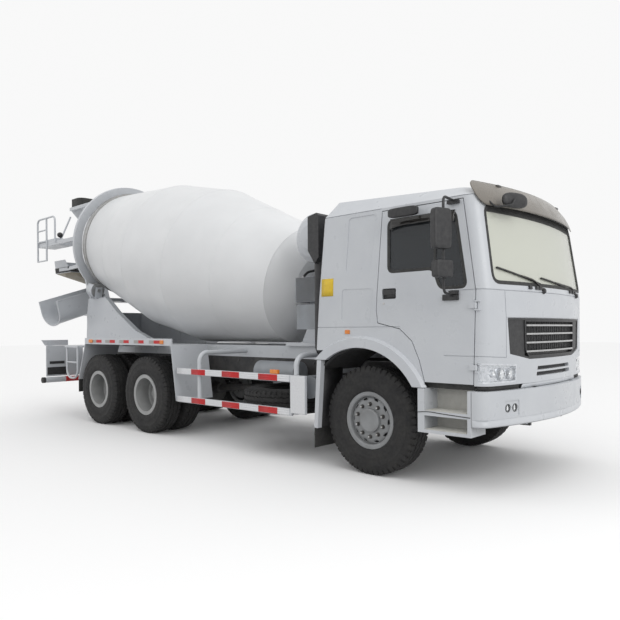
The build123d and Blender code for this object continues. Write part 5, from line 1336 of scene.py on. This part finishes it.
stageLook = {"floorSeen": (0.93, 0.93, 0.93), "floorUnder": (0.42, 0.42, 0.42), "skySeen": 0.945,
             "skyLight": 0.98, "lampSize": 7.0, "floorHalf": 60.0,
             "key": ((14, -4, 7), (0, 0, 1.5), 430.0), "fill": ((-9, -9, 6), (0, 0, 2.0), 60.0)}


def seenShare(tree, kinds):
    # 1 for the rays named, and 0 for the rest
    light = addNode(tree, "LightPath", {})
    share = light.outputs[kinds[0]]
    for kind in kinds[1:]:
        share = mathNode(tree, "MAXIMUM", share, light.outputs[kind])
    return share


def makeFloor():
    # one wide flat face at z 0, pale to the camera and darker to the light that it throws back
    half = stageLook["floorHalf"]
    mesh = bpy.data.meshes.new("floor")
    mesh.from_pydata([(x, y, 0) for x, y in rect(-half, half, -half, half)], [], [(0, 1, 2, 3)])
    floor = bpy.data.objects.new("floor", mesh)
    bpy.context.scene.collection.objects.link(floor)
    material, tree, shader = nodeTree("floor_paint")
    seen = seenShare(tree, ("Is Camera Ray", "Is Glossy Ray", "Is Transmission Ray"))
    colour = mixed(tree, seen, (*stageLook["floorUnder"], 1), stageLook["floorSeen"])
    feed(tree, shader, {"Base Color": colour, "Roughness": 0.95, "Specular IOR Level": 0.0})
    mesh.materials.append(material)


def makeWorld():
    # white all round, of one strength for what the camera sees and another for its light
    world = bpy.data.worlds.new("studio")
    world.use_nodes = True
    tree = world.node_tree
    seen = seenShare(tree, ("Is Camera Ray", "Is Transmission Ray"))
    gain = mathNode(tree, "MULTIPLY", seen, stageLook["skySeen"] - stageLook["skyLight"])
    strength = mathNode(tree, "ADD", stageLook["skyLight"], gain)
    feed(tree, tree.nodes["Background"], {"Color": (1, 1, 1, 1), "Strength": strength})
    bpy.context.scene.world = world


def areaLamp(name, place, target, power):
    # square lamp at a place, in metres, turned to its target
    data = bpy.data.lights.new(name, "AREA")
    data.size = stageLook["lampSize"]
    data.energy = power
    lamp = bpy.data.objects.new(name, data)
    aim = Vector(target) - Vector(place)
    lamp.matrix_world = Matrix.Translation(place) @ aim.to_track_quat("-Z", "Y").to_matrix().to_4x4()
    bpy.context.scene.collection.objects.link(lamp)


photoView = {"azimuth": 42.17, "pitch": 0.34, "roll": -0.39, "focalPixels": 601.98, "centre": (312.98, 333.29),
             "place": (3715.5, -6093.6, 1494.4), "imageSize": 620}


def makeCamera():
    # the photo's camera: right, up and back axes from azimuth, pitch and roll
    azimuth, pitch, roll = (radians(photoView[k]) for k in ("azimuth", "pitch", "roll"))
    forward = np.array([-sin(azimuth) * cos(pitch), cos(azimuth) * cos(pitch), -sin(pitch)])
    right = np.array([cos(azimuth), sin(azimuth), 0.0])
    up = np.cross(right, forward)
    right, up = right * cos(roll) + up * sin(roll), up * cos(roll) - right * sin(roll)
    data = bpy.data.cameras.new("camera")
    data.sensor_width = 36.0
    size = photoView["imageSize"]
    data.lens = photoView["focalPixels"] / size * data.sensor_width
    data.shift_x = (size / 2 - photoView["centre"][0]) / size
    data.shift_y = (photoView["centre"][1] - size / 2) / size
    data.clip_end = 200
    camera = bpy.data.objects.new("camera", data)
    rotation = Matrix([list(row) for row in np.stack([right, up, -forward], axis=1)])
    camera.matrix_world = Matrix.Translation(toRow(photoView["place"])) @ rotation.to_4x4()
    bpy.context.scene.collection.objects.link(camera)
    bpy.context.scene.camera = camera


makeFloor()
makeWorld()
areaLamp("keyLamp", *stageLook["key"])
areaLamp("fillLamp", *stageLook["fill"])
makeCamera()
bpy.context.scene.view_settings.view_transform = "Standard"
print("stage ready")
